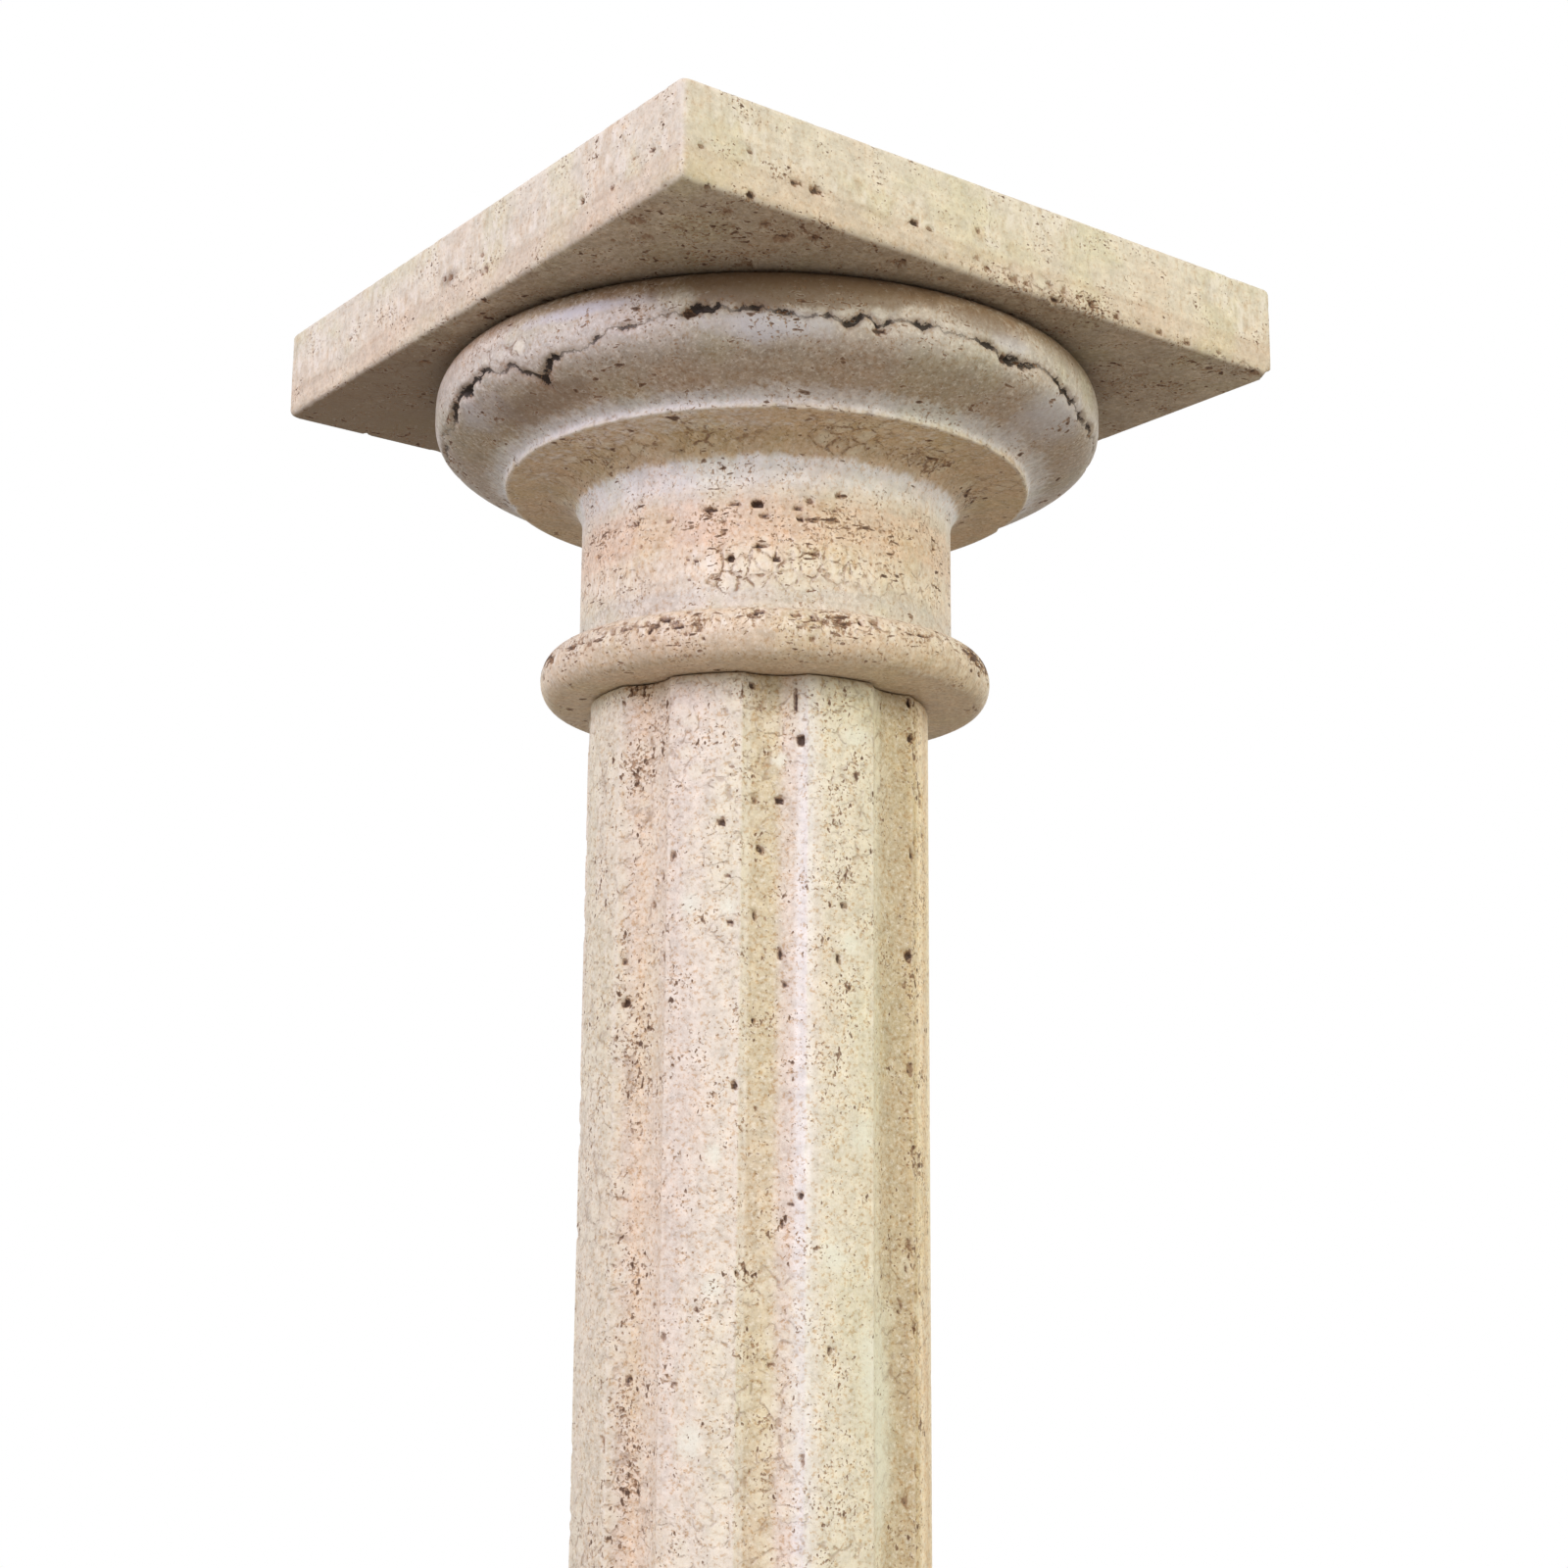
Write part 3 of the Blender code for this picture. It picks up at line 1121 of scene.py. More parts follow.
@dataclass
class StonePiece:
    """A piece of the column: what its solid gives it, its stone and its relief.

    Attributes:
        node: the solid that the piece stands for.
        stone: its finish.
        pores: its fields of pores.
        spots: pores, stains, painted sheen and shade, and patches at their own places.
        wear: greatest depth that a chip takes off an edge, in metres.
        seed: picks the wear's pattern.
    """

    node: str
    stone: Travertine
    pores: tuple[Pores, ...]
    spots: tuple[Spot, ...] = ()
    wear: float = 0.0014
    seed: int = 11

    def box(self) -> tuple[Vector, Vector]:
        """The solid's lowest and highest corners."""
        low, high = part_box(self.node)
        return Vector(low), Vector(high)

    def skin(self) -> Skin:
        """The piece's smooth skin, before its relief."""
        raise NotImplementedError

    def edge_nearness(self, skin: Skin) -> Array:
        """How near each point is to a worn edge, 0 to 1."""
        return np.zeros(skin.points.shape[:2])

    def own_relief(self, skin: Skin) -> Array:
        """Depth of the marks that only this piece has."""
        return np.zeros(skin.points.shape[:2])

    def pore_depth(self, skin: Skin) -> Array:
        """Depth of the pores, the scattered ones and those at their own places.

        Args:
            skin: the piece's skin.

        Returns:
            Depth in metres at each point.
        """
        places = self.stone.frame.resolve(skin.points)
        depth = np.zeros(skin.points.shape[:2])
        for pores in self.pores:
            depth = np.maximum(depth, pores.sink(places))
        ragged = self.ragged(skin)
        for spot in self.spots:
            if spot.mark is Mark.PORE:
                bowl = np.sqrt(spot.closeness(skin.points, ragged))
                depth = np.maximum(depth, bowl * spot.strength * MILLIMETRE)
        return depth

    def ragged(self, skin: Skin) -> Array:
        """Noise about 0, in grains of 2 mm."""
        return soft_noise(skin.points / Grain.SPOT, self.seed + 3, 2) - 0.5

    def spot_marks(self, skin: Skin) -> None:
        """Give the skin its stone's marks and its own stains, painted sheen and shade, and patches.

        Args:
            skin: the piece's skin.
        """
        skin.marks.update(self.stone.marks(self.stone.frame.resolve(skin.points)))
        ragged = soft_noise(skin.points / Grain.SPOT_OUTLINE, self.seed + 4, 3) - 0.5
        for spot in self.spots:
            if spot.mark is not Mark.PORE:
                earlier = skin.marks.get(spot.mark, np.zeros(skin.points.shape[:2]))
                spot_marks = spot.closeness(skin.points, ragged) * spot.strength
                skin.marks[spot.mark] = np.maximum(earlier, spot_marks)

    def make(self) -> bpy.types.Object:
        """Build the skin, sink its relief, dress it and hand it to the frame.

        Returns:
            The finished piece.
        """
        skin = self.skin()
        normals = skin.normals()
        close = smooth_step(skin.spacing(), COARSE_RINGS, CLOSE_RINGS)
        pore = self.pore_depth(skin) * close
        own = self.own_relief(skin) * close
        edge = self.edge_nearness(skin)
        chips = smooth_step(soft_noise(skin.points / Grain.CHIP, self.seed, 3), 0.60, 0.80)
        self.spot_marks(skin)
        # depth share that the stone turns into the pores' brown and painted shade
        skin.marks[Mark.PORE] = np.clip(pore / FULL_PORE, 0.0, 1.0)
        skin.marks[Mark.EDGE] = edge
        skin.sink(np.maximum(pore, own) + self.wear * (chips * edge * close), normals)
        piece = skin.make()
        piece.data.materials.append(self.stone.build())
        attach(piece, "root")
        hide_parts(self.node)
        return piece


@dataclass
class Slab(StonePiece):
    """A square slab with eased edges: a square with round corners, scaled along an upright outline.

    Attributes:
        arris: radius of the eased edges, in metres.
        around: points round the slab.
        side_step: spacing of the rings on its sides, in metres.
        face_steps: spacing of the rings on its top and on its underside, in metres.
        covered: half side of the square on its underside that stays plain, in metres.
        edge_strip: width of the strip by each edge that has close rings, in metres.
        strip_steps: spacing of the rings in that strip, on top and on the underside, in metres.
        crowding: how far the points crowd on the side in view.
        worn: distances from an edge where its wear begins and is full, in metres.
    """

    arris: float = 0.002
    around: int = 1000
    side_step: float = 0.0011
    face_steps: Pair = (0.018, 0.0021)
    covered: float = 0.090
    edge_strip: float = 0.012
    strip_steps: Pair = (0.0024, 0.0021)
    crowding: float = 0.30
    worn: Pair = (0.0032, 0.0004)

    def contour(self, half: float) -> Array:
        """A square's contour with quarter-circle corners, as rows of x and y.

        Args:
            half: half of the side, in metres.

        Returns:
            The rows.
        """
        inner = half - self.arris
        quarters = np.radians(np.arange(4) * 90.0)[:, None]
        angles = quarters + np.radians(np.linspace(0.0, 90.0, 9))
        middle = quarters + math.radians(45.0)
        x = inner * math.sqrt(2.0) * np.cos(middle) + self.arris * np.cos(angles)
        y = inner * math.sqrt(2.0) * np.sin(middle) + self.arris * np.sin(angles)
        closed = np.stack([np.append(x, x[0, 0]), np.append(y, y[0, 0])], axis=1)
        lengths = np.concatenate([[0.0], np.cumsum(np.hypot(*np.diff(closed, axis=0).T))])
        turn = crowded_turn(self.around, self.crowding) / FULL_TURN - 1.0 / 8.0
        marks = (turn % 1.0) * lengths[-1]
        return np.stack([np.interp(marks, lengths, closed[:, axis]) for axis in range(2)], axis=1)

    def outline(self, half: float, bottom: float, top: float) -> Array:
        """From the middle of the top out over the edge, down the side and in under.

        Args:
            half: half of the side, in metres.
            bottom: height of the underside.
            top: height of the top.

        Returns:
            Rows of radius and height.
        """
        upper, lower = self.face_steps
        corner = (self.arris, self.arris)
        inner = half - self.arris
        strip = inner - self.edge_strip
        return joined(
            line((HUB, top), (strip, top), upper),
            line((strip, top), (inner, top), self.strip_steps[0]),
            bend((inner, top - self.arris), corner, 90.0, -90.0, self.arris / 2.5),
            line((half, top - self.arris), (half, bottom + self.arris), self.side_step),
            bend((inner, bottom + self.arris), corner, 0.0, -90.0, self.arris / 2.5),
            line((inner, bottom), (strip, bottom), self.strip_steps[1]),
            line((strip, bottom), (self.covered, bottom), lower),
            line((self.covered, bottom), (HUB, bottom), 0.03),
        )

    def skin(self) -> Skin:
        """Scale the contour by the outline's radius over the half side, at the outline's height.

        Returns:
            The skin.
        """
        low, high = self.box()
        half = (high.x - low.x) / 2.0
        outline = self.outline(half, low.z, high.z) / np.array([half, 1.0])
        return carried(f"{self.node}_slab", self.contour(half), outline)

    def edge_nearness(self, skin: Skin) -> Array:
        """Nearness to the slab's twelve edges, from the two smallest distances to its faces.

        Args:
            skin: the piece's skin.

        Returns:
            One number from 0 to 1 for each point.
        """
        low, high = self.box()
        gaps = np.minimum(skin.points - np.array(low), np.array(high) - skin.points)
        second = np.sort(gaps, axis=-1)[..., 1]
        return smooth_step(second, *self.worn)


@dataclass
class Turned(StonePiece):
    """A turned piece: an outline carried round the upright axis.

    Attributes:
        around: points round the piece.
        crowding: how far the points crowd on the side in view.
        fissure: a long seam, if the piece has one.
        worn: distances from a sharp edge where its wear begins and is full, in metres.
    """

    around: int = 500
    crowding: float = 0.45
    fissure: Fissure | None = None
    worn: Pair = (0.0032, 0.0004)

    def outline(self, foot: float, head: float) -> Array:
        """The piece's outer side as rows of radius and height."""
        raise NotImplementedError

    def skin(self) -> Skin:
        """Carry the outline round: radius times the cosine and sine of each angle, and height.

        Returns:
            The skin.
        """
        low, high = self.box()
        angles = crowded_turn(self.around, self.crowding)
        circle = np.stack([np.cos(angles), np.sin(angles)], axis=1)
        return carried(f"{self.node}_turned", circle, self.outline(low.z, high.z))

    def own_relief(self, skin: Skin) -> Array:
        """The seam: one less the squared offset in half widths, times its depth and its gape.

        Args:
            skin: the piece's skin.

        Returns:
            Depth in metres at each point.
        """
        depth = np.zeros(skin.points.shape[:2])
        if self.fissure is not None:
            bearing = bearing_of(skin.points)
            offset = self.fissure.offset(bearing, skin.points[..., 2] - self.box()[0].z)
            gape = self.fissure.gape(bearing)
            width = self.fissure.half_width * (0.5 + gape)
            open_share = np.clip(1.0 - (offset / width) ** 2, 0.0, 1.0)
            depth = open_share * self.fissure.depth * np.clip(gape, 0.0, 1.0)
            depth = depth + self.fissure.lip * gape * np.exp(-((offset / self.fissure.lip_width) ** 2))
            skin.marks[Mark.SEAM] = np.clip(offset / MILLIMETRE, -99.0, 99.0)
            skin.marks[Mark.GAPE] = gape
        return depth


@dataclass
class Capital(Turned):
    """The capital: echinus, fillet, cavetto, neck and ring, top to bottom.

    Attributes:
        shoulder: width and height of the echinus's rounding under the abacus, in metres.
        sweep_height: height of the echinus's S, in metres.
        fullness: the power that keeps the S full above and hollow below.
        fillet: radius, height and easing of the sharp edge under the S, in metres.
        neck_radius: radius of the neck, in metres.
        cavetto: radius of the hollow between soffit and neck, in metres.
        ring: radius and height of the ring, in metres.
        cove: width and height of the hollow over the ring, in metres.
        worn: the same distances for the sharp edge under the S, in metres.
    """

    shoulder: Pair = (0.0094, 0.0135)
    sweep_height: float = 0.0293
    fullness: float = 2.2
    fillet: Triple = (0.1099, 0.0023, 0.0006)
    neck_radius: float = 0.0773
    cavetto: float = 0.0165
    ring: Pair = (0.0930, 0.0209)
    cove: Pair = (0.0078, 0.004)
    worn: Pair = (0.0030, 0.0003)

    def outline(self, foot: float, head: float) -> Array:
        """The outer side: quarter ellipse, S of a raised cosine, soffit, hollow, neck, cove and roll.

        Args:
            foot: height of its foot.
            head: height of its head.

        Returns:
            Rows of radius and height.
        """
        belly = self.box()[1].x
        belly_height = head - self.shoulder[1]
        fillet, fillet_height, eased = self.fillet
        drop = np.linspace(0.0, 1.0, 120)
        swell = 0.5 + 0.5 * np.cos(math.pi * drop**self.fullness)
        radii, heights = fillet + (belly - fillet) * swell, belly_height - self.sweep_height * drop
        soffit = belly_height - self.sweep_height - fillet_height
        neck, hollow = self.neck_radius, self.cavetto
        cove_top = foot + self.ring[1] + self.cove[1]
        cove_foot = neck + self.cove[0]
        roll = (self.ring[0] - cove_foot, self.ring[1] / 2.0)
        inner_shoulder = belly - self.shoulder[0]
        return joined(
            line((HUB, head), (inner_shoulder, head), 0.04),
            bend((inner_shoulder, belly_height), self.shoulder, 90.0, -90.0, 0.00105),
            walk(np.stack([radii, heights], axis=1), 0.00112),
            line((fillet, belly_height - self.sweep_height), (fillet, soffit + eased), 0.0006),
            bend((fillet - eased, soffit + eased), (eased, eased), 0.0, -90.0, 0.0004),
            line((fillet - eased, soffit), (neck + hollow, soffit), 0.0016),
            bend((neck + hollow, soffit - hollow), (hollow, hollow), 90.0, 90.0, 0.0014),
            line((neck, soffit - hollow), (neck, cove_top), 0.00092),
            bend((cove_foot, cove_top), self.cove, 180.0, 90.0, 0.0011),
            bend((cove_foot, foot + roll[1]), roll, 90.0, -180.0, 0.0011),
            line((cove_foot, foot), (HUB, foot), 0.02),
        )

    def edge_nearness(self, skin: Skin) -> Array:
        """Nearness to the sharp edge under the echinus."""
        soffit = self.box()[1].z - self.shoulder[1] - self.sweep_height - self.fillet[1]
        return near_circle(skin, self.fillet[0], soffit, *self.worn)


@dataclass
class Base(Turned):
    """The base: a hollow under the shaft, a listel and a torus.

    Attributes:
        seat_radius: radius of the shaft's seat, in metres.
        apophyge: radius of the hollow that leads from the seat to the listel, in metres.
        listel: radius and height of the listel, in metres.
        torus_height: height of the torus, in metres.
        torus_shoulder: ledge between the listel and the torus's round, in metres.
        listel_easing: radius of the listel's eased upper edge, in metres.
    """

    seat_radius: float = 0.0745
    apophyge: float = 0.006
    listel: Pair = (0.0865, 0.009)
    torus_height: float = 0.038
    torus_shoulder: float = 0.004
    listel_easing: float = 0.0010

    def outline(self, foot: float, head: float) -> Array:
        """The outer side: hollow, ledge, upright listel and half-round torus.

        Args:
            foot: height of its foot.
            head: height of its head.

        Returns:
            Rows of radius and height.
        """
        torus_radius = self.box()[1].x
        torus_top = foot + self.torus_height
        listel, ledge = self.listel[0], torus_top + self.listel[1]
        hollow, hollow_foot = self.apophyge, self.seat_radius + self.apophyge
        shoulder = listel + self.torus_shoulder
        eased = self.listel_easing
        roll = (torus_radius - shoulder, self.torus_height / 2.0)
        return joined(
            line((HUB, head), (self.seat_radius, head), 0.03),
            bend((hollow_foot, head), (hollow, hollow), 180.0, 90.0, 0.0014),
            line((hollow_foot, ledge), (listel - eased, ledge), 0.0017),
            bend((listel - eased, ledge - eased), (eased, eased), 90.0, -90.0, 0.0006),
            line((listel, ledge - eased), (listel, torus_top), 0.0016),
            line((listel, torus_top), (shoulder, torus_top), 0.0016),
            bend((shoulder, foot + roll[1]), roll, 90.0, -180.0, 0.0016),
            line((shoulder, foot), (HUB, foot), 0.03),
        )

    def edge_nearness(self, skin: Skin) -> Array:
        """Nearness to the listel's upper edge."""
        ledge = self.box()[0].z + self.torus_height + self.listel[1]
        return near_circle(skin, self.listel[0], ledge, *self.worn)


@dataclass
class Shaft(StonePiece):
    """The shaft: a drum with segmental flutes between round lands.

    Attributes:
        radius: radius over the lands, in metres.
        offset: the drum's axis, off the column's own, in metres.
        flutes: how many flutes.
        flute_width: width of a flute between its arrises, in metres.
        flute_depth: depth of a flute under the round, in metres.
        flute_turn: azimuth of the first flute, in degrees.
        points_in_view: points across each flute and each land on the side in view.
        points_behind: the same on the side away from it.
        end_easing: radius of the eased edge at both ends, in metres.
        close_from: height over the floor from which the rings stand close, in metres.
        nearness: nearness to an arris for each point, kept when the skin is made.
    """

    radius: float = 0.0705
    offset: Pair = (-0.0024, 0.0018)
    flutes: int = 8
    flute_width: float = 0.0255
    flute_depth: float = 0.0052
    flute_turn: float = 14.0
    points_in_view: int = 24
    points_behind: int = 8
    end_easing: float = 0.0022
    close_from: float = 0.690
    nearness: Array | None = None

    @classmethod
    def place(cls, bearing: float, height: float) -> Triple:
        """A place on the drum's face, let into the flute where there is one.

        In a flute the face lies in by the flute's depth times one less the squared share of its
        half width.

        Args:
            bearing: degrees from the view's azimuth, about the drum's axis.
            height: over the floor, in metres.

        Returns:
            The place in metres.
        """
        pitch = 360.0 / cls.flutes
        turned = math.degrees(VIEW_AZIMUTH) + bearing - cls.flute_turn
        aside = math.radians((turned + pitch / 2.0) % pitch - pitch / 2.0)
        share = cls.radius * math.sin(aside) / (cls.flute_width / 2.0)
        drop = cls.flute_depth * max(0.0, 1.0 - share**2)
        return on_round(bearing, height, cls.radius - drop, cls.offset)

    def section(self) -> tuple[Array, Array]:
        """The drum's section and each point's nearness to an arris.

        A flute is an arc of the circle through its two arrises and its deepest point; a land is
        an arc of the drum's own circle. The points draw together towards the arrises, and there
        are more of them on the side in view.

        Returns:
            Rows of x and y about the drum's axis, and nearness from 0 to 1.
        """
        pitch = FULL_TURN / self.flutes
        half_width = self.flute_width / 2.0
        half_angle = math.asin(half_width / self.radius)
        chord = self.radius * math.cos(half_angle)
        sagitta = chord - (self.radius - self.flute_depth)
        arc_radius = (half_width**2 + sagitta**2) / (2.0 * sagitta)
        arc_centre = chord + arc_radius - sagitta
        rows = []
        nearness = []
        for flute in range(self.flutes):
            turn = math.radians(self.flute_turn) + pitch * flute
            for middle, is_flute in ((turn, True), (turn + pitch / 2.0, False)):
                in_view = math.cos(middle - VIEW_AZIMUTH) > 0.0
                count = self.points_in_view if in_view else self.points_behind
                even = np.arange(count) / count
                across = 2.0 * (0.45 * even + 0.55 * (0.5 - 0.5 * np.cos(math.pi * even))) - 1.0
                if is_flute:
                    sweep = math.asin(half_width / arc_radius) * across
                    x, y = arc_centre - arc_radius * np.cos(sweep), arc_radius * np.sin(sweep)
                else:
                    sweep = (pitch / 2.0 - half_angle) * across
                    x, y = self.radius * np.cos(sweep), self.radius * np.sin(sweep)
                width = half_width if is_flute else self.radius * (pitch / 2.0 - half_angle)
                gap = (1.0 - np.abs(across)) * width
                nearness.append(smooth_step(gap, 0.0012 if is_flute else 0.0034, 0.0002))
                cosine, sine = math.cos(middle), math.sin(middle)
                rows.append(np.stack([x * cosine - y * sine, x * sine + y * cosine], axis=1))
        return np.concatenate(rows), np.concatenate(nearness)

    def skin(self) -> Skin:
        """Carry the section down the shaft: an outline of shares of the radius, eased at both ends.

        Returns:
            The skin.
        """
        low, high = self.box()
        rim = 1.0 - self.end_easing / self.radius
        upper, lower = high.z - self.end_easing, low.z + self.end_easing
        eased = (self.end_easing / self.radius, self.end_easing)
        outline = joined(
            line((0.05, high.z), (rim, high.z), 0.5),
            bend((rim, upper), eased, 90.0, -90.0, 0.008),
            line((1.0, upper), (1.0, self.close_from), 0.00118),
            line((1.0, self.close_from), (1.0, lower), 0.0062),
            bend((rim, lower), eased, 0.0, -90.0, 0.02),
            line((rim, low.z), (0.05, low.z), 0.5),
        )
        section, nearness = self.section()
        self.nearness = np.broadcast_to(nearness, (len(outline), len(section)))
        return carried(f"{self.node}_drum", section, outline, self.offset)

    def edge_nearness(self, skin: Skin) -> Array:
        """Nearness to the flutes' arrises."""
        return self.nearness


# Studio


@dataclass(frozen=True)
class Softbox:
    """A square light that faces a point.

    Attributes:
        name: the light's name.
        place: where it stands, in metres.
        aim: the point that it faces.
        size: its side, in metres.
        power: in watts.
        tone: its colour.
    """

    name: str
    place: Triple
    aim: Triple
    size: float
    power: float
    tone: Tone

    def make(self) -> None:
        """Add the light."""
        light = bpy.data.lights.new(self.name, "AREA")
        light.shape = "SQUARE"
        light.size = self.size
        light.energy = self.power
        light.color = self.tone
        holder = linked(self.name, light)
        holder.location = self.place
        way = Vector(self.aim) - Vector(self.place)
        holder.rotation_euler = way.to_track_quat("-Z", "Y").to_euler()


@dataclass(frozen=True)
class Studio:
    """Pale floor, soft surround light and softboxes.

    Attributes:
        floor_radius: in metres.
        floor_tone: colour of the floor.
        horizon: strength of the surround's light from the sides.
        zenith: strength from above.
        nadir: strength from below.
        boxes: the softboxes.
    """

    floor_radius: float
    floor_tone: Tone
    horizon: float
    zenith: float
    nadir: float
    boxes: tuple[Softbox, ...]

    def floor(self) -> None:
        """A round floor."""
        turn = np.arange(96) / 96 * FULL_TURN
        rim = np.stack([np.cos(turn), np.sin(turn), np.zeros_like(turn)], axis=1) * self.floor_radius
        mesh = bpy.data.meshes.new("floor")
        mesh.from_pydata(rim.tolist(), [], [list(range(len(rim)))])
        bench = StoneBench("floor_paper")
        bench.shader.inputs["Base Color"].default_value = (*self.floor_tone, 1.0)
        bench.shader.inputs["Roughness"].default_value = 0.9
        mesh.materials.append(bench.material)
        linked("floor", mesh)

    def surround(self) -> None:
        """Light from all round, brightest level with the eye; plain white where it is seen."""
        world = bpy.data.worlds.new("surround")
        world.use_nodes = True
        world.node_tree.nodes.clear()
        bench = Bench(world.node_tree)
        way = bench.node("ShaderNodeTexCoord", {}, {}).outputs["Generated"]
        rise = Shade(bench, bench.node("ShaderNodeSeparateXYZ", {}, {0: way}).outputs["Z"])
        heights = (-1.0, -0.16, 0.0, 0.45, 0.9, 1.0)
        strengths = (self.nadir, self.nadir, self.horizon, self.horizon, self.zenith, self.zenith)
        glow = bench.ramp(rise, [(at, (strength,) * 3) for at, strength in zip(heights, strengths)])
        lit = bench.node("ShaderNodeBackground", {}, {"Color": glow})
        white = bench.node("ShaderNodeBackground", {}, {"Color": (1.0, 1.0, 1.0, 1.0)})
        camera_ray = bench.node("ShaderNodeLightPath", {}, {}).outputs["Is Camera Ray"]
        both = bench.node("ShaderNodeMixShader", {}, {0: camera_ray, 1: lit.outputs[0], 2: white.outputs[0]})
        bench.node("ShaderNodeOutputWorld", {}, {"Surface": both.outputs[0]})
        bpy.context.scene.world = world

    def make(self) -> None:
        """Set up the floor, the surround and the softboxes."""
        self.floor()
        self.surround()
        for box in self.boxes:
            box.make()
        bpy.context.scene.view_settings.view_transform = "Standard"


@dataclass(frozen=True)
class Eye:
    """The camera, level with the shaft and looking up at the capital.

    Attributes:
        distance: from the column's axis, in metres.
        height: over the floor, in metres.
        aside: angle that it looks to the right of the axis, in degrees.
        upward: angle that it looks up, in degrees.
        roll: angle that it leans, in degrees.
        lens: focal length in millimetres, on a 36 mm sensor.
    """

    distance: float = 0.9858
    height: float = 0.7873
    aside: float = 0.475
    upward: float = 11.80
    roll: float = 0.41
    lens: float = 56.07

    def make(self) -> None:
        """Add the camera: right, up and back axes from its angles, as the columns of its turn."""
        data = bpy.data.cameras.new("eye")
        data.sensor_width = 36.0
        data.lens = self.lens
        data.clip_start = 0.05
        camera = linked("eye", data)
        heading = VIEW_AZIMUTH + math.pi - math.radians(self.aside)
        upward = math.radians(self.upward)
        level = math.cos(upward)
        forward = Vector((math.cos(heading) * level, math.sin(heading) * level, math.sin(upward)))
        right = Vector((math.sin(heading), -math.cos(heading), 0.0))
        up = right.cross(forward)
        turn = Matrix((right, up, -forward)).transposed() @ Matrix.Rotation(math.radians(self.roll), 3, "Z")
        camera.rotation_euler = turn.to_euler()
        camera.location = on_round(0.0, self.height, self.distance)
        bpy.context.scene.camera = camera


# The pieces of this column, from the floor up


def beds(foot: float, *stops: tuple[float, int, int, int]) -> tuple[Bed, ...]:
    """Beds given by millimetres over a foot in metres, and by the tone as it looks on a screen."""
    return tuple(Bed(foot + height * MILLIMETRE, seen(*tone)) for height, *tone in stops)


def bands(foot: float, *rows: Triple) -> tuple[Band, ...]:
    """Bands given by middle, spread and share, with the middle over a foot in metres."""
    return tuple(Band(foot + middle, spread, share) for middle, spread, share in rows)


def plinth() -> Slab:
    """The square slab on the floor: guessed and plain.

    Returns:
        The plinth.
    """
    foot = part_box("plinth")[0][2]
    return Slab(
        node="plinth",
        stone=Travertine(
            "plinth_travertine",
            beds(
                foot, (0.0, 208, 190, 164), (14.0, 216, 202, 178), (22.0, 204, 182, 156),
                (40.0, 218, 206, 184),
            ),
            bands=bands(foot, (0.020, 0.004, 0.5)), feather=0.3, seed=910,
        ),
        pores=(Pores((0.013, 0.013, 0.006), 0.03, bands(foot, (0.021, 0.003, 0.35)), seed=301),),
        around=800, side_step=0.0017, face_steps=(0.0040, 0.018), covered=0.020, seed=81,
    )


def base() -> Base:
    """The turned base: guessed and plain.

    Returns:
        The base.
    """
    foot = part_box("base")[0][2]
    return Base(
        node="base",
        stone=Travertine(
            "base_travertine",
            beds(
                foot, (0.0, 212, 194, 168), (16.0, 218, 202, 178), (30.0, 208, 184, 156),
                (53.0, 216, 204, 184),
            ),
            bands=bands(foot, (0.030, 0.005, 0.5)), seed=920,
        ),
        pores=(Pores((0.011, 0.011, 0.0045), 0.04, bands(foot, (0.030, 0.004, 0.35)), seed=401),),
        around=480, seed=82,
    )


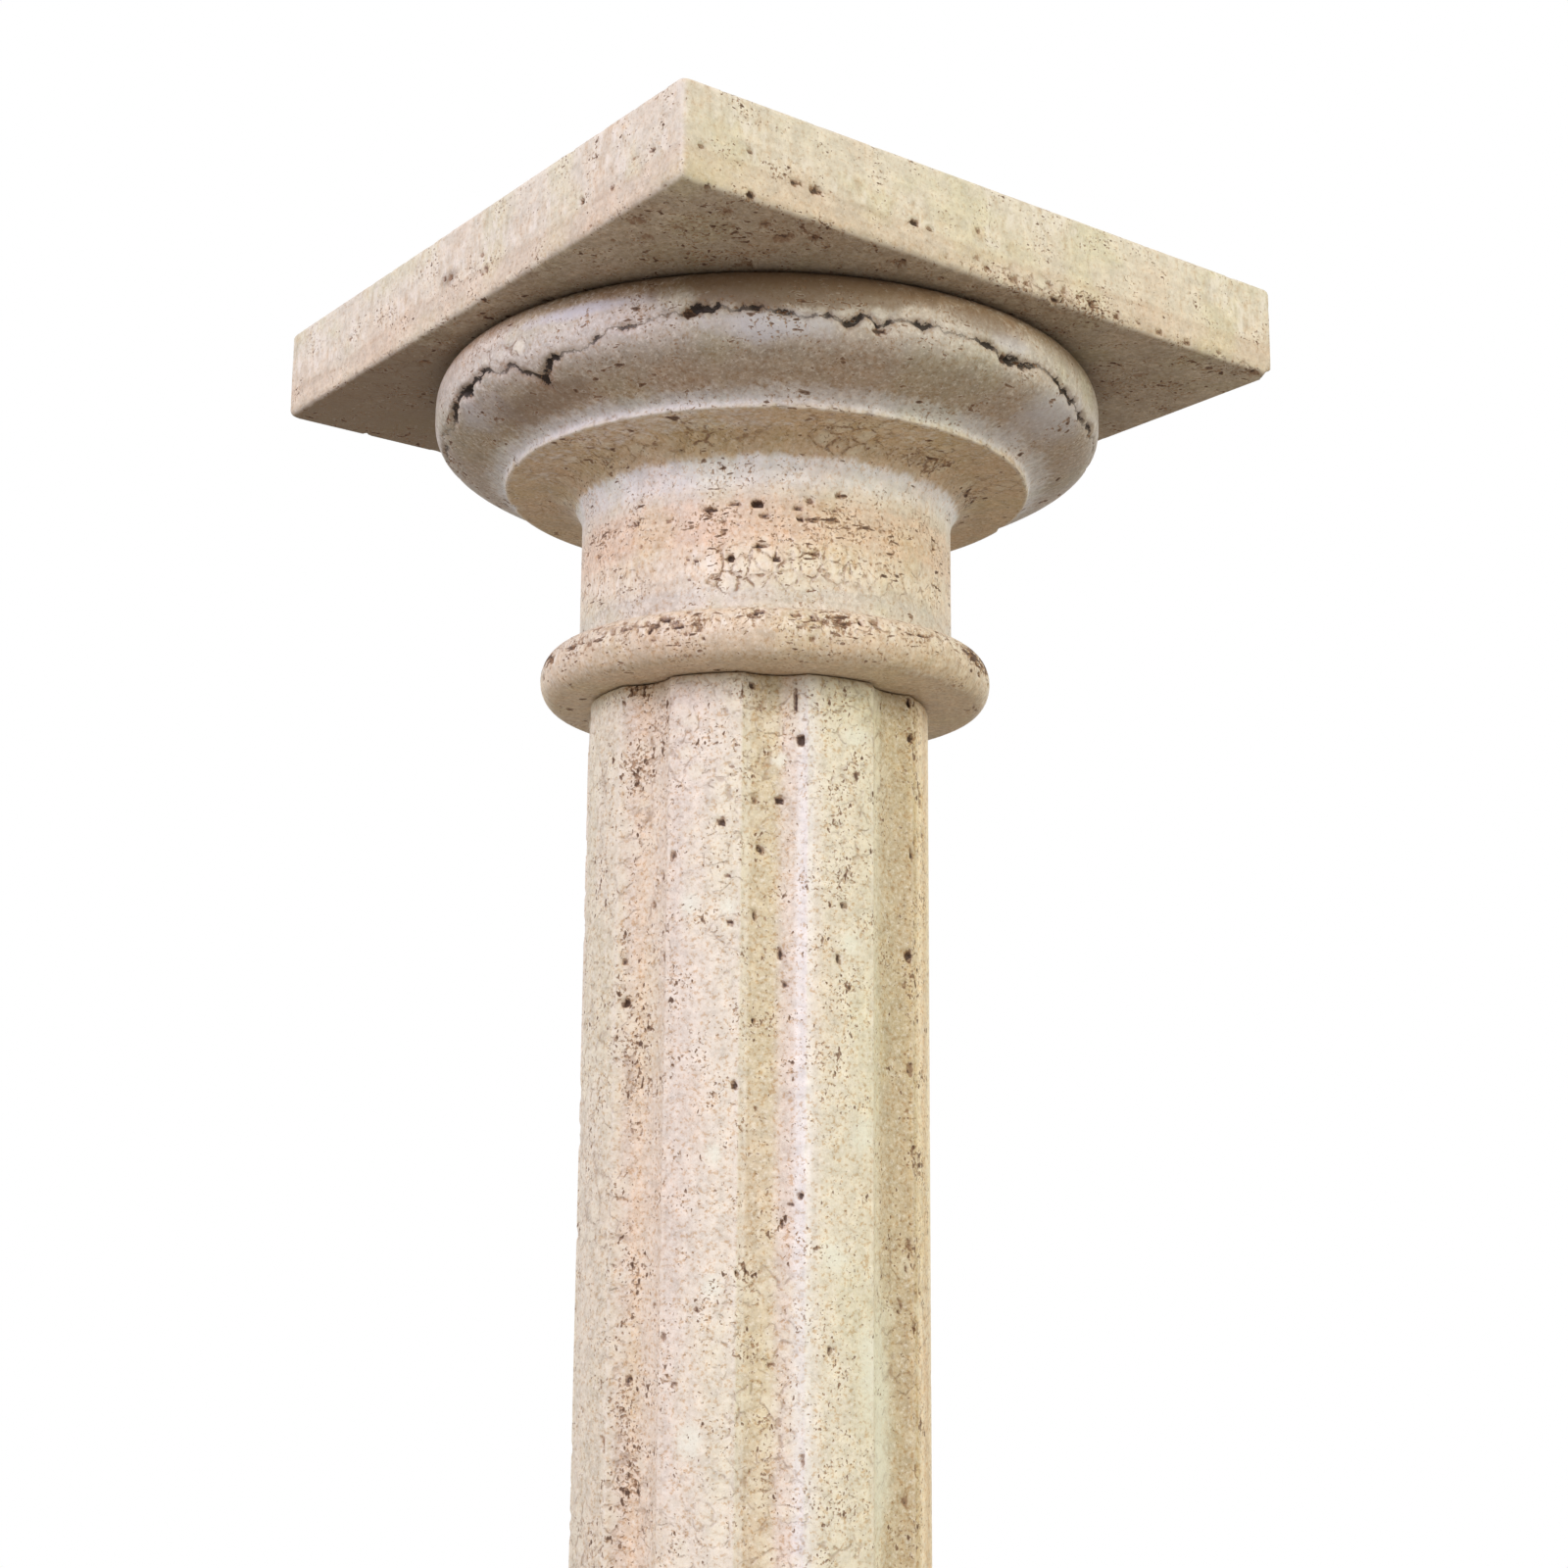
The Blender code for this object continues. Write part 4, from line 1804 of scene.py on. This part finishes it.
def shaft() -> Shaft:
    """The fluted shaft, cut from upright beds.

    Returns:
        The shaft.
    """
    spots = [
        Spot(Shaft.place(bearing, height), width, tall, depth)
        for bearing, height, width, tall, depth in (
            (-1.5, 1.018, 2.6, 3.0, 2.0), (14.1, 0.9969, 3.0, 4.6, 2.6), (12.6, 1.013, 1.6, 12.0, 2.0),
            (7.5, 0.9734, 4.0, 3.0, 2.6), (-7.9, 0.9858, 2.0, 2.4, 1.6), (-10.7, 0.9637, 2.6, 3.8, 2.4),
            (1.5, 0.9534, 2.6, 3.2, 2.0), (0.0, 0.9283, 1.8, 4.0, 1.8), (-8.4, 0.9427, 2.4, 2.2, 1.6),
            (-7.6, 0.9248, 3.2, 2.0, 1.6), (8.7, 0.9135, 2.4, 5.0, 2.4), (9.6, 0.9021, 3.0, 2.4, 1.8),
            (28.9, 0.9334, 2.4, 4.2, 2.0), (26.6, 0.9123, 2.2, 4.2, 2.0), (-0.2, 0.8881, 2.2, 2.6, 1.8),
            (-5.8, 0.8636, 2.4, 3.0, 1.8), (60.8, 1.0195, 2.8, 4.0, 2.4), (61.9, 1.0054, 3.2, 4.0, 2.4),
            (68.7, 0.9812, 2.4, 14.0, 1.8), (61.6, 0.9577, 2.6, 6.0, 2.0),
            (60.1, 0.9174, 2.8, 6.0, 1.7), (59.0, 0.9060, 2.2, 4.0, 1.1), (60.7, 0.8731, 3.0, 5.0, 1.2),
            (61.5, 0.8420, 2.2, 7.0, 0.9), (60.0, 0.8060, 2.4, 6.0, 0.9), (62.0, 0.7750, 2.4, 8.0, 0.9),
            (58.4, 0.7122, 3.0, 6.0, 0.9), (-46.7, 0.8969, 3.2, 3.4, 2.0),
            (-47.2, 0.9129, 2.4, 2.2, 1.6), (-30.4, 0.9132, 2.2, 3.0, 1.8),
            (14.8, 0.8232, 2.8, 3.4, 2.0), (12.2, 0.8200, 2.2, 2.2, 1.6), (9.6, 0.8128, 2.4, 3.4, 1.8),
            (-4.4, 0.7948, 2.0, 2.6, 1.8), (-16.4, 0.7814, 2.6, 2.4, 1.8), (6.4, 0.7621, 2.2, 2.4, 1.8),
            (24.8, 0.7672, 1.8, 5.0, 1.8), (-23.6, 0.7549, 1.8, 3.6, 1.8),
            (-53.3, 0.7539, 2.4, 3.0, 1.4), (-51.1, 0.7325, 2.2, 8.0, 0.9),
            (15.6, 0.7280, 2.6, 4.6, 1.0),
        )
    ]
    spots += [
        Spot(Shaft.place(bearing, height), width, tall, 0.8, Mark.PALE_PATCH_AND_SHEEN)
        for bearing, height, width, tall in (
            (8.0, 0.989, 12.0, 9.0), (-8.4, 0.931, 11.0, 12.0), (31.0, 0.919, 13.0, 12.0),
            (-21.0, 0.932, 11.0, 12.0), (36.0, 0.846, 12.0, 16.0), (-12.0, 0.838, 9.0, 12.0),
            (33.0, 1.000, 16.0, 10.0), (40.0, 0.760, 20.0, 50.0), (47.0, 0.740, 18.0, 130.0),
            (-12.0, 0.790, 12.0, 14.0), (-18.0, 0.735, 13.0, 16.0), (26.0, 0.800, 12.0, 14.0),
        )
    ]
    return Shaft(
        node="shaft",
        stone=Travertine(
            "shaft_travertine",
            # The beds run across the view: the white at 14 to 17.5 mm, on a flute's right wall, is a painted
            # highlight;
            # is partly the bed's own yellow and partly painted shade.
            # the brown at 47 to 60 mm, on the next flute, is painted shade; the yellow at -5 to 3 mm, on a
            # flute's left wall,
            beds(
                0.0, (-72.0, 218, 205, 182), (-58.0, 218, 205, 180), (-52.0, 222, 204, 180),
                (-47.0, 227, 205, 176), (-42.0, 224, 206, 182), (-38.0, 221, 204, 182),
                (-33.5, 223, 208, 190), (-14.0, 225, 213, 193), (-6.2, 224, 212, 194),
                (-5.0, 212, 195, 168), (3.0, 212, 196, 166), (8.0, 220, 203, 186),
                (11.0, 222, 206, 190), (14.0, 232, 224, 215), (17.5, 233, 226, 216),
                (20.5, 226, 216, 198), (24.0, 224, 214, 190), (44.0, 223, 213, 187),
                (47.0, 204, 187, 156), (56.0, 198, 179, 146), (60.0, 207, 184, 142),
                (62.0, 240, 220, 186), (64.5, 222, 196, 158), (67.0, 240, 224, 192),
                (72.0, 228, 212, 178),
            ),
            frame=upright_beds(SHAFT_BED_AZIMUTH),
            bands=bands(
                0.0, (-0.047, 0.008, 0.95), (-0.009, 0.003, 0.25), (0.000, 0.004, 0.30),
                (0.029, 0.006, 0.42), (0.060, 0.004, 0.60),
            ),
            share=0.04, drawn=0.35, warp=0.30, pore_shape=(1.1, 0.8, 1.3), feather=0.0, pebble=1.0,
            pebble_scale=118.0, crack=0.48, chalk=0.22, tint=0.42, patch_and_sheen_tone=seen(234, 232, 212),
            seed=930,
        ),
        pores=(
            Pores(
                (0.0075, 0.010, 0.0042), 0.010,
                bands(0.0, (-0.047, 0.008, 0.20), (-0.002, 0.004, 0.14), (0.060, 0.005, 0.10)),
                largest=0.37, depth=0.0020, seed=501,
            ),
            Pores(
                (0.0042, 0.0060, 0.0034), 0.0, bands(0.0, (-0.047, 0.007, 0.36), (0.061, 0.003, 0.25)),
                smallest=0.16, largest=0.42, depth=0.0014, seed=511,
            ),
        ),
        spots=tuple(spots), wear=0.0008, seed=83,
    )


def capital() -> Capital:
    """The turned capital, with a long fissure round the echinus.

    Returns:
        The capital.
    """
    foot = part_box("capital")[0][2]
    neck, ring, belly = 0.0773, 0.0925, 0.1385
    spots = [
        Spot(on_round(bearing, foot + height * MILLIMETRE, radius), width, tall, depth)
        for radius, bearing, height, width, tall, depth in (
            (neck, -2.9, 65.1, 5.4, 2.6, 3.2), (neck, -9.4, 65.0, 6.0, 1.8, 1.6),
            (neck, 9.0, 63.6, 5.0, 1.8, 1.4), (neck, -1.2, 60.3, 5.4, 1.8, 1.4),
            (neck, -10.4, 43.3, 3.8, 3.2, 2.6), (neck, -30.0, 61.0, 5.0, 1.5, 1.2),
            (neck, 24.0, 58.0, 5.0, 1.5, 1.2), (neck, 14.0, 45.5, 4.6, 1.5, 1.3),
            (neck, 20.0, 64.5, 4.0, 1.5, 1.2), (neck, -1.7, 48.0, 5.0, 1.8, 1.8),
            (neck, 3.0, 42.5, 4.0, 2.2, 1.8), (ring, 11.0, 17.0, 3.0, 2.2, 2.4),
            (ring, -24.5, 16.6, 6.4, 2.0, 2.6), (ring, -21.0, 12.8, 5.0, 1.8, 2.0),
            (ring, 41.0, 15.0, 4.4, 1.8, 2.0), (belly, -12.2, 118.9, 6.0, 3.6, 4.0),
            (belly, 40.6, 114.7, 4.0, 3.4, 3.2), (belly, -46.5, 120.4, 2.8, 2.4, 2.2),
            (belly, -8.0, 106.0, 4.0, 2.4, 1.8),
        )
    ]
    spots += [
        Spot(on_round(bearing, foot + height, radius), width, tall, strength, Mark.PEBBLE)
        for bearing, height, radius, width, tall, strength in (
            (1.5, 0.0395, neck, 50.0, 21.0, 2.6), (-17.0, 0.0905, 0.087, 26.0, 14.0, 2.0),
            (20.0, 0.0905, 0.087, 34.0, 14.0, 2.4), (48.0, 0.0905, 0.089, 30.0, 12.0, 1.8),
            (-46.0, 0.1190, belly, 44.0, 13.0, 1.3), (20.0, 0.0150, ring, 60.0, 14.0, 1.1),
            (-30.0, 0.0150, ring, 40.0, 12.0, 1.0),
        )
    ]
    # Pale patches on the echinus are painted sheen; the brown ones near its top, under the abacus,
    # and in the hollow over the fillet are painted shade; the crowd patch on the ring holds more pores.
    spots += [
        Spot(on_round(bearing, foot + height * MILLIMETRE, belly), width, tall, strength, mark)
        for mark, bearing, height, width, tall, strength in (
            (Mark.PALE_PATCH_AND_SHEEN, 1.0, 114.5, 60.0, 16.0, 0.95), (Mark.PALE_PATCH_AND_SHEEN, 60.0, 106.0, 70.0, 24.0, 0.75),
            (Mark.PALE_PATCH_AND_SHEEN, -30.0, 126.5, 76.0, 8.0, 0.85), (Mark.PALE_PATCH_AND_SHEEN, -62.0, 103.0, 50.0, 18.0, 0.7),
            (Mark.PALE_PATCH_AND_SHEEN, 42.0, 122.0, 34.0, 10.0, 0.7), (Mark.STAIN_AND_SHADE, 4.0, 129.5, 120.0, 22.0, 1.8),
            (Mark.STAIN_AND_SHADE, 36.0, 127.0, 60.0, 16.0, 0.8), (Mark.STAIN_AND_SHADE, 62.0, 129.0, 70.0, 14.0, 0.6),
            (Mark.STAIN_AND_SHADE, -46.0, 102.0, 110.0, 9.0, 0.7), (Mark.CROWD, 40.0, 16.0, 60.0, 16.0, 1.0),
        )
    ]
    return Capital(
        node="capital",
        stone=Travertine(
            "capital_travertine",
            # The white of the cavetto at 77 to 83.5 mm and the pale bluish band at 95 to 98 mm are painted
            # highlight;
            # the brown hollow at 101 to 105 mm and the dark brown at 132 to 138 mm, under the abacus, are
            # painted shade.
            beds(
                foot, (0.0, 208, 186, 156), (9.0, 212, 191, 163), (19.0, 216, 198, 173),
                (22.0, 206, 194, 176), (30.0, 204, 194, 178), (34.0, 212, 198, 176),
                (38.0, 223, 207, 183), (47.0, 221, 201, 174), (53.0, 219, 192, 164),
                (66.0, 220, 196, 170), (71.0, 222, 208, 188), (77.0, 240, 234, 226),
                (83.5, 246, 242, 240), (86.5, 212, 187, 154), (92.9, 200, 175, 139),
                (93.6, 212, 199, 183), (95.0, 223, 216, 210), (98.0, 208, 201, 194),
                (101.0, 176, 156, 134), (105.0, 175, 158, 138), (112.0, 187, 175, 160),
                (119.0, 196, 186, 172), (126.0, 198, 186, 170), (132.0, 162, 140, 116),
                (138.0, 122, 100, 78),
            ),
            bands=bands(
                foot, (0.0145, 0.0055, 1.80), (0.044, 0.006, 0.60), (0.060, 0.007, 0.70),
                (0.090, 0.003, 0.45), (0.106, 0.005, 0.20),
            ),
            share=0.10, pore_shape=(0.50, 0.50, 1.5), feather=0.10, feather_from=foot + 0.094,
            feather_bands=bands(foot, (0.042, 0.007, 0.75), (0.014, 0.006, 0.70), (0.079, 0.006, 0.40)),
            feather_shape=(420.0, 420.0, 130.0), crack=0.88, warp=0.35, fringe=0.0060, pebble=0.30,
            pebble_scale=134.0, speckle=0.8, tint=0.6,
            cracks=bands(foot, (0.0905, 0.0035, 0.55), (0.042, 0.008, 0.50), (0.015, 0.006, 0.45)),
            # the pale bluish tone is that of the painted sheen
            patch_and_sheen_tone=seen(204, 200, 202), roughness=0.46, seed=940,
        ),
        pores=(
            Pores(
                (0.0085, 0.0085, 0.0034), 0.012,
                bands(foot, (0.015, 0.005, 0.50), (0.044, 0.006, 0.06), (0.061, 0.005, 0.18)),
                depth=0.0024, seed=601,
            ),
            Pores(
                (0.0048, 0.0048, 0.0028), 0.0, bands(foot, (0.014, 0.0055, 0.85), (0.060, 0.006, 0.22)),
                smallest=0.22, largest=0.52, depth=0.0014, seed=611,
            ),
        ),
        fissure=Fissure(
            course=(
                (-110.0, 108.0, 0.0), (-72.0, 109.5, 0.3), (-64.0, 112.5, 0.55), (-58.5, 112.0, 0.9),
                (-57.0, 115.0, 1.1), (-52.0, 115.2, 1.0), (-49.5, 113.8, 0.25), (-47.0, 113.4, 0.65),
                (-44.0, 110.6, 0.85), (-40.5, 106.4, 0.9), (-38.5, 109.6, 1.1), (-35.5, 111.0, 0.5),
                (-30.0, 112.0, 0.28), (-26.0, 115.6, 0.34), (-19.0, 118.0, 0.15), (-14.0, 119.5, 0.34),
                (-12.0, 119.0, 1.20), (-10.0, 119.8, 0.45), (-4.0, 120.5, 0.40), (3.0, 117.5, 0.38),
                (8.0, 118.3, 0.22), (12.0, 117.5, 0.60), (22.0, 118.5, 0.40), (30.0, 119.0, 0.36),
                (35.5, 118.2, 0.36), (39.0, 116.0, 0.50), (41.0, 114.8, 1.20), (43.0, 115.6, 0.50),
                (46.3, 116.5, 0.55), (53.0, 116.8, 0.35), (60.0, 113.2, 0.42), (70.0, 110.5, 0.35),
                (110.0, 113.0, 0.0),
            ),
            half_width=0.0018, depth=0.0042, seed=17,
        ),
        spots=tuple(spots), seed=84,
    )


def abacus() -> Slab:
    """The square slab on top: feathered stone over a denser bed.

    Returns:
        The abacus.
    """
    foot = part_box("abacus")[0][2]
    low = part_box("abacus")[0][0]
    right = [
        Spot((x, low, foot + height * MILLIMETRE), width, tall, depth)
        for x, height, width, tall, depth in (
            (-0.045, 13.0, 3.4, 2.4, 2.2), (-0.038, 12.6, 2.8, 2.2, 1.8), (-0.014, 18.7, 2.6, 1.8, 1.4),
            (-0.142, 14.0, 2.6, 2.0, 1.6), (-0.121, 18.0, 3.4, 1.8, 1.4), (-0.101, 12.3, 4.0, 1.8, 1.6),
            (-0.120, 1.7, 4.0, 3.4, 2.2), (-0.029, 3.7, 3.0, 2.2, 0.9), (-0.0215, 3.2, 2.6, 2.0, 0.8),
            (-0.0149, 7.4, 3.0, 2.0, 0.8), (-0.0094, 4.7, 3.2, 2.2, 0.9), (0.0040, 3.9, 4.4, 2.6, 1.0),
            (0.0108, 4.2, 3.0, 2.4, 0.9), (0.0223, 7.1, 3.4, 2.4, 1.0), (0.0304, 6.3, 3.6, 2.6, 1.1),
            (0.0265, 1.0, 5.4, 3.6, 1.8), (0.0385, 5.8, 3.0, 2.6, 1.0), (0.0456, 4.8, 4.4, 3.0, 1.4),
            (0.0590, 3.2, 3.4, 2.2, 1.4), (0.0710, 3.8, 3.0, 2.0, 1.4), (0.0830, 2.4, 4.0, 2.4, 1.4),
            (0.0990, 2.0, 3.6, 2.4, 1.4), (0.1180, 2.6, 3.4, 2.2, 1.4),
        )
    ]
    left = [
        Spot((low, y, foot + height * MILLIMETRE), width, tall, depth)
        for y, height, width, tall, depth in (
            (-0.132, 16.8, 5.0, 1.8, 1.4), (-0.121, 18.0, 7.0, 1.1, 1.0),
            (-0.0155, 18.5, 2.6, 2.2, 1.4), (-0.087, 14.4, 2.8, 2.4, 2.0),
            (-0.106, 12.3, 3.0, 1.8, 1.4), (0.009, 17.4, 3.4, 2.0, 1.6), (0.014, 18.6, 2.2, 1.8, 1.4),
            (0.094, 19.2, 3.4, 2.4, 2.0),
        )
    ]
    under = [
        Spot((x, y, foot), width, 3.0, depth)
        for x, y, width, depth in (
            (-0.121, -0.136, 7.0, 2.2), (-0.112, -0.128, 5.0, 1.8), (-0.104, -0.136, 6.0, 2.0),
            (-0.092, -0.131, 8.0, 2.2), (-0.083, -0.138, 5.0, 1.8), (-0.127, -0.116, 6.0, 1.8),
            (-0.131, -0.102, 5.0, 1.6), (0.106, -0.116, 7.0, 2.0),
        )
    ]
    stains = [
        Spot((x, y, foot + z), width, tall, strength, mark)
        for mark, x, y, z, width, tall, strength in (
            (Mark.STAIN_AND_SHADE, low, 0.010, 0.0176, 22.0, 10.0, 0.7),
            (Mark.CROWD, low, 0.075, 0.019, 60.0, 12.0, 0.8),
            (Mark.CROWD, -0.118, low, 0.014, 60.0, 8.0, 0.7),
            (Mark.CROWD, 0.026, low, 0.003, 120.0, 12.0, 1.1),
            (Mark.PEBBLE, 0.022, low, 0.003, 110.0, 15.0, 1.7),
            (Mark.PEBBLE, 0.125, low, 0.001, 40.0, 6.0, 1.4),
            (Mark.PEBBLE, low, 0.060, 0.001, 150.0, 6.0, 1.2),
            (Mark.PEBBLE, low, -0.050, 0.001, 60.0, 5.0, 1.1),
            (Mark.CROWD, -0.095, -0.135, 0.0, 80.0, 4.0, 1.1),
            (Mark.CROWD, -0.110, -0.120, 0.0, 90.0, 4.0, 1.2),
            (Mark.CROWD, 0.110, -0.110, 0.0, 80.0, 4.0, 1.2),
            # the brown over the whole underside, and more of it at one corner, is painted shade
            (Mark.STAIN_AND_SHADE, 0.0, 0.0, 0.0, 700.0, 3.0, 0.70),
            (Mark.STAIN_AND_SHADE, -0.120, 0.110, 0.0, 260.0, 3.0, 1.15),
        )
    ]
    return Slab(
        node="abacus",
        stone=Travertine(
            "abacus_travertine",
            beds(
                foot, (0.0, 214, 198, 172), (3.0, 210, 192, 166), (9.5, 213, 196, 172),
                (12.0, 207, 189, 164), (15.0, 218, 205, 182), (38.6, 219, 208, 186),
            ),
            bands=bands(foot, (0.013, 0.003, 0.30), (0.0, 0.002, 0.45)), share=0.05, feather=0.75,
            feather_from=foot + 0.012, feather_shape=(330.0, 330.0, 150.0), fringe=0.0040, pebble=0.15,
            chalk=0.28, speckle=0.6, tint=0.7, roughness=0.56, seed=950,
        ),
        pores=(
            Pores(
                (0.012, 0.012, 0.005), 0.001, bands(foot, (0.013, 0.0025, 0.14), (0.0, 0.002, 0.20)),
                depth=0.0022, seed=713,
            ),
        ),
        spots=tuple(right + left + under + stains), wear=0.0004, arris=0.0027, seed=85,
    )


STUDIO = Studio(
    floor_radius=3.0,
    floor_tone=(0.46, 0.44, 0.41),
    horizon=1.14,
    zenith=0.40,
    nadir=0.07,
    boxes=(
        Softbox("front_left", (-2.5, -0.7, 2.2), (0.0, 0.0, 1.0), 1.3, 34.0, (1.0, 0.94, 1.27)),
        Softbox("front_right", (0.8, -2.5, 2.0), (0.0, 0.0, 1.0), 1.3, 22.0, (1.0, 0.98, 0.70)),
    ),
)


def main() -> None:
    """Set the studio and the camera, then build each piece."""
    logging.basicConfig(level=logging.INFO, format="%(name)s: %(message)s")
    Eye().make()
    STUDIO.make()
    for piece in (plinth(), base(), shaft(), capital(), abacus()):
        made = piece.make()
        LOG.info("%s stands for %s", made.name, piece.node)


if __name__ == "__main__":
    main()
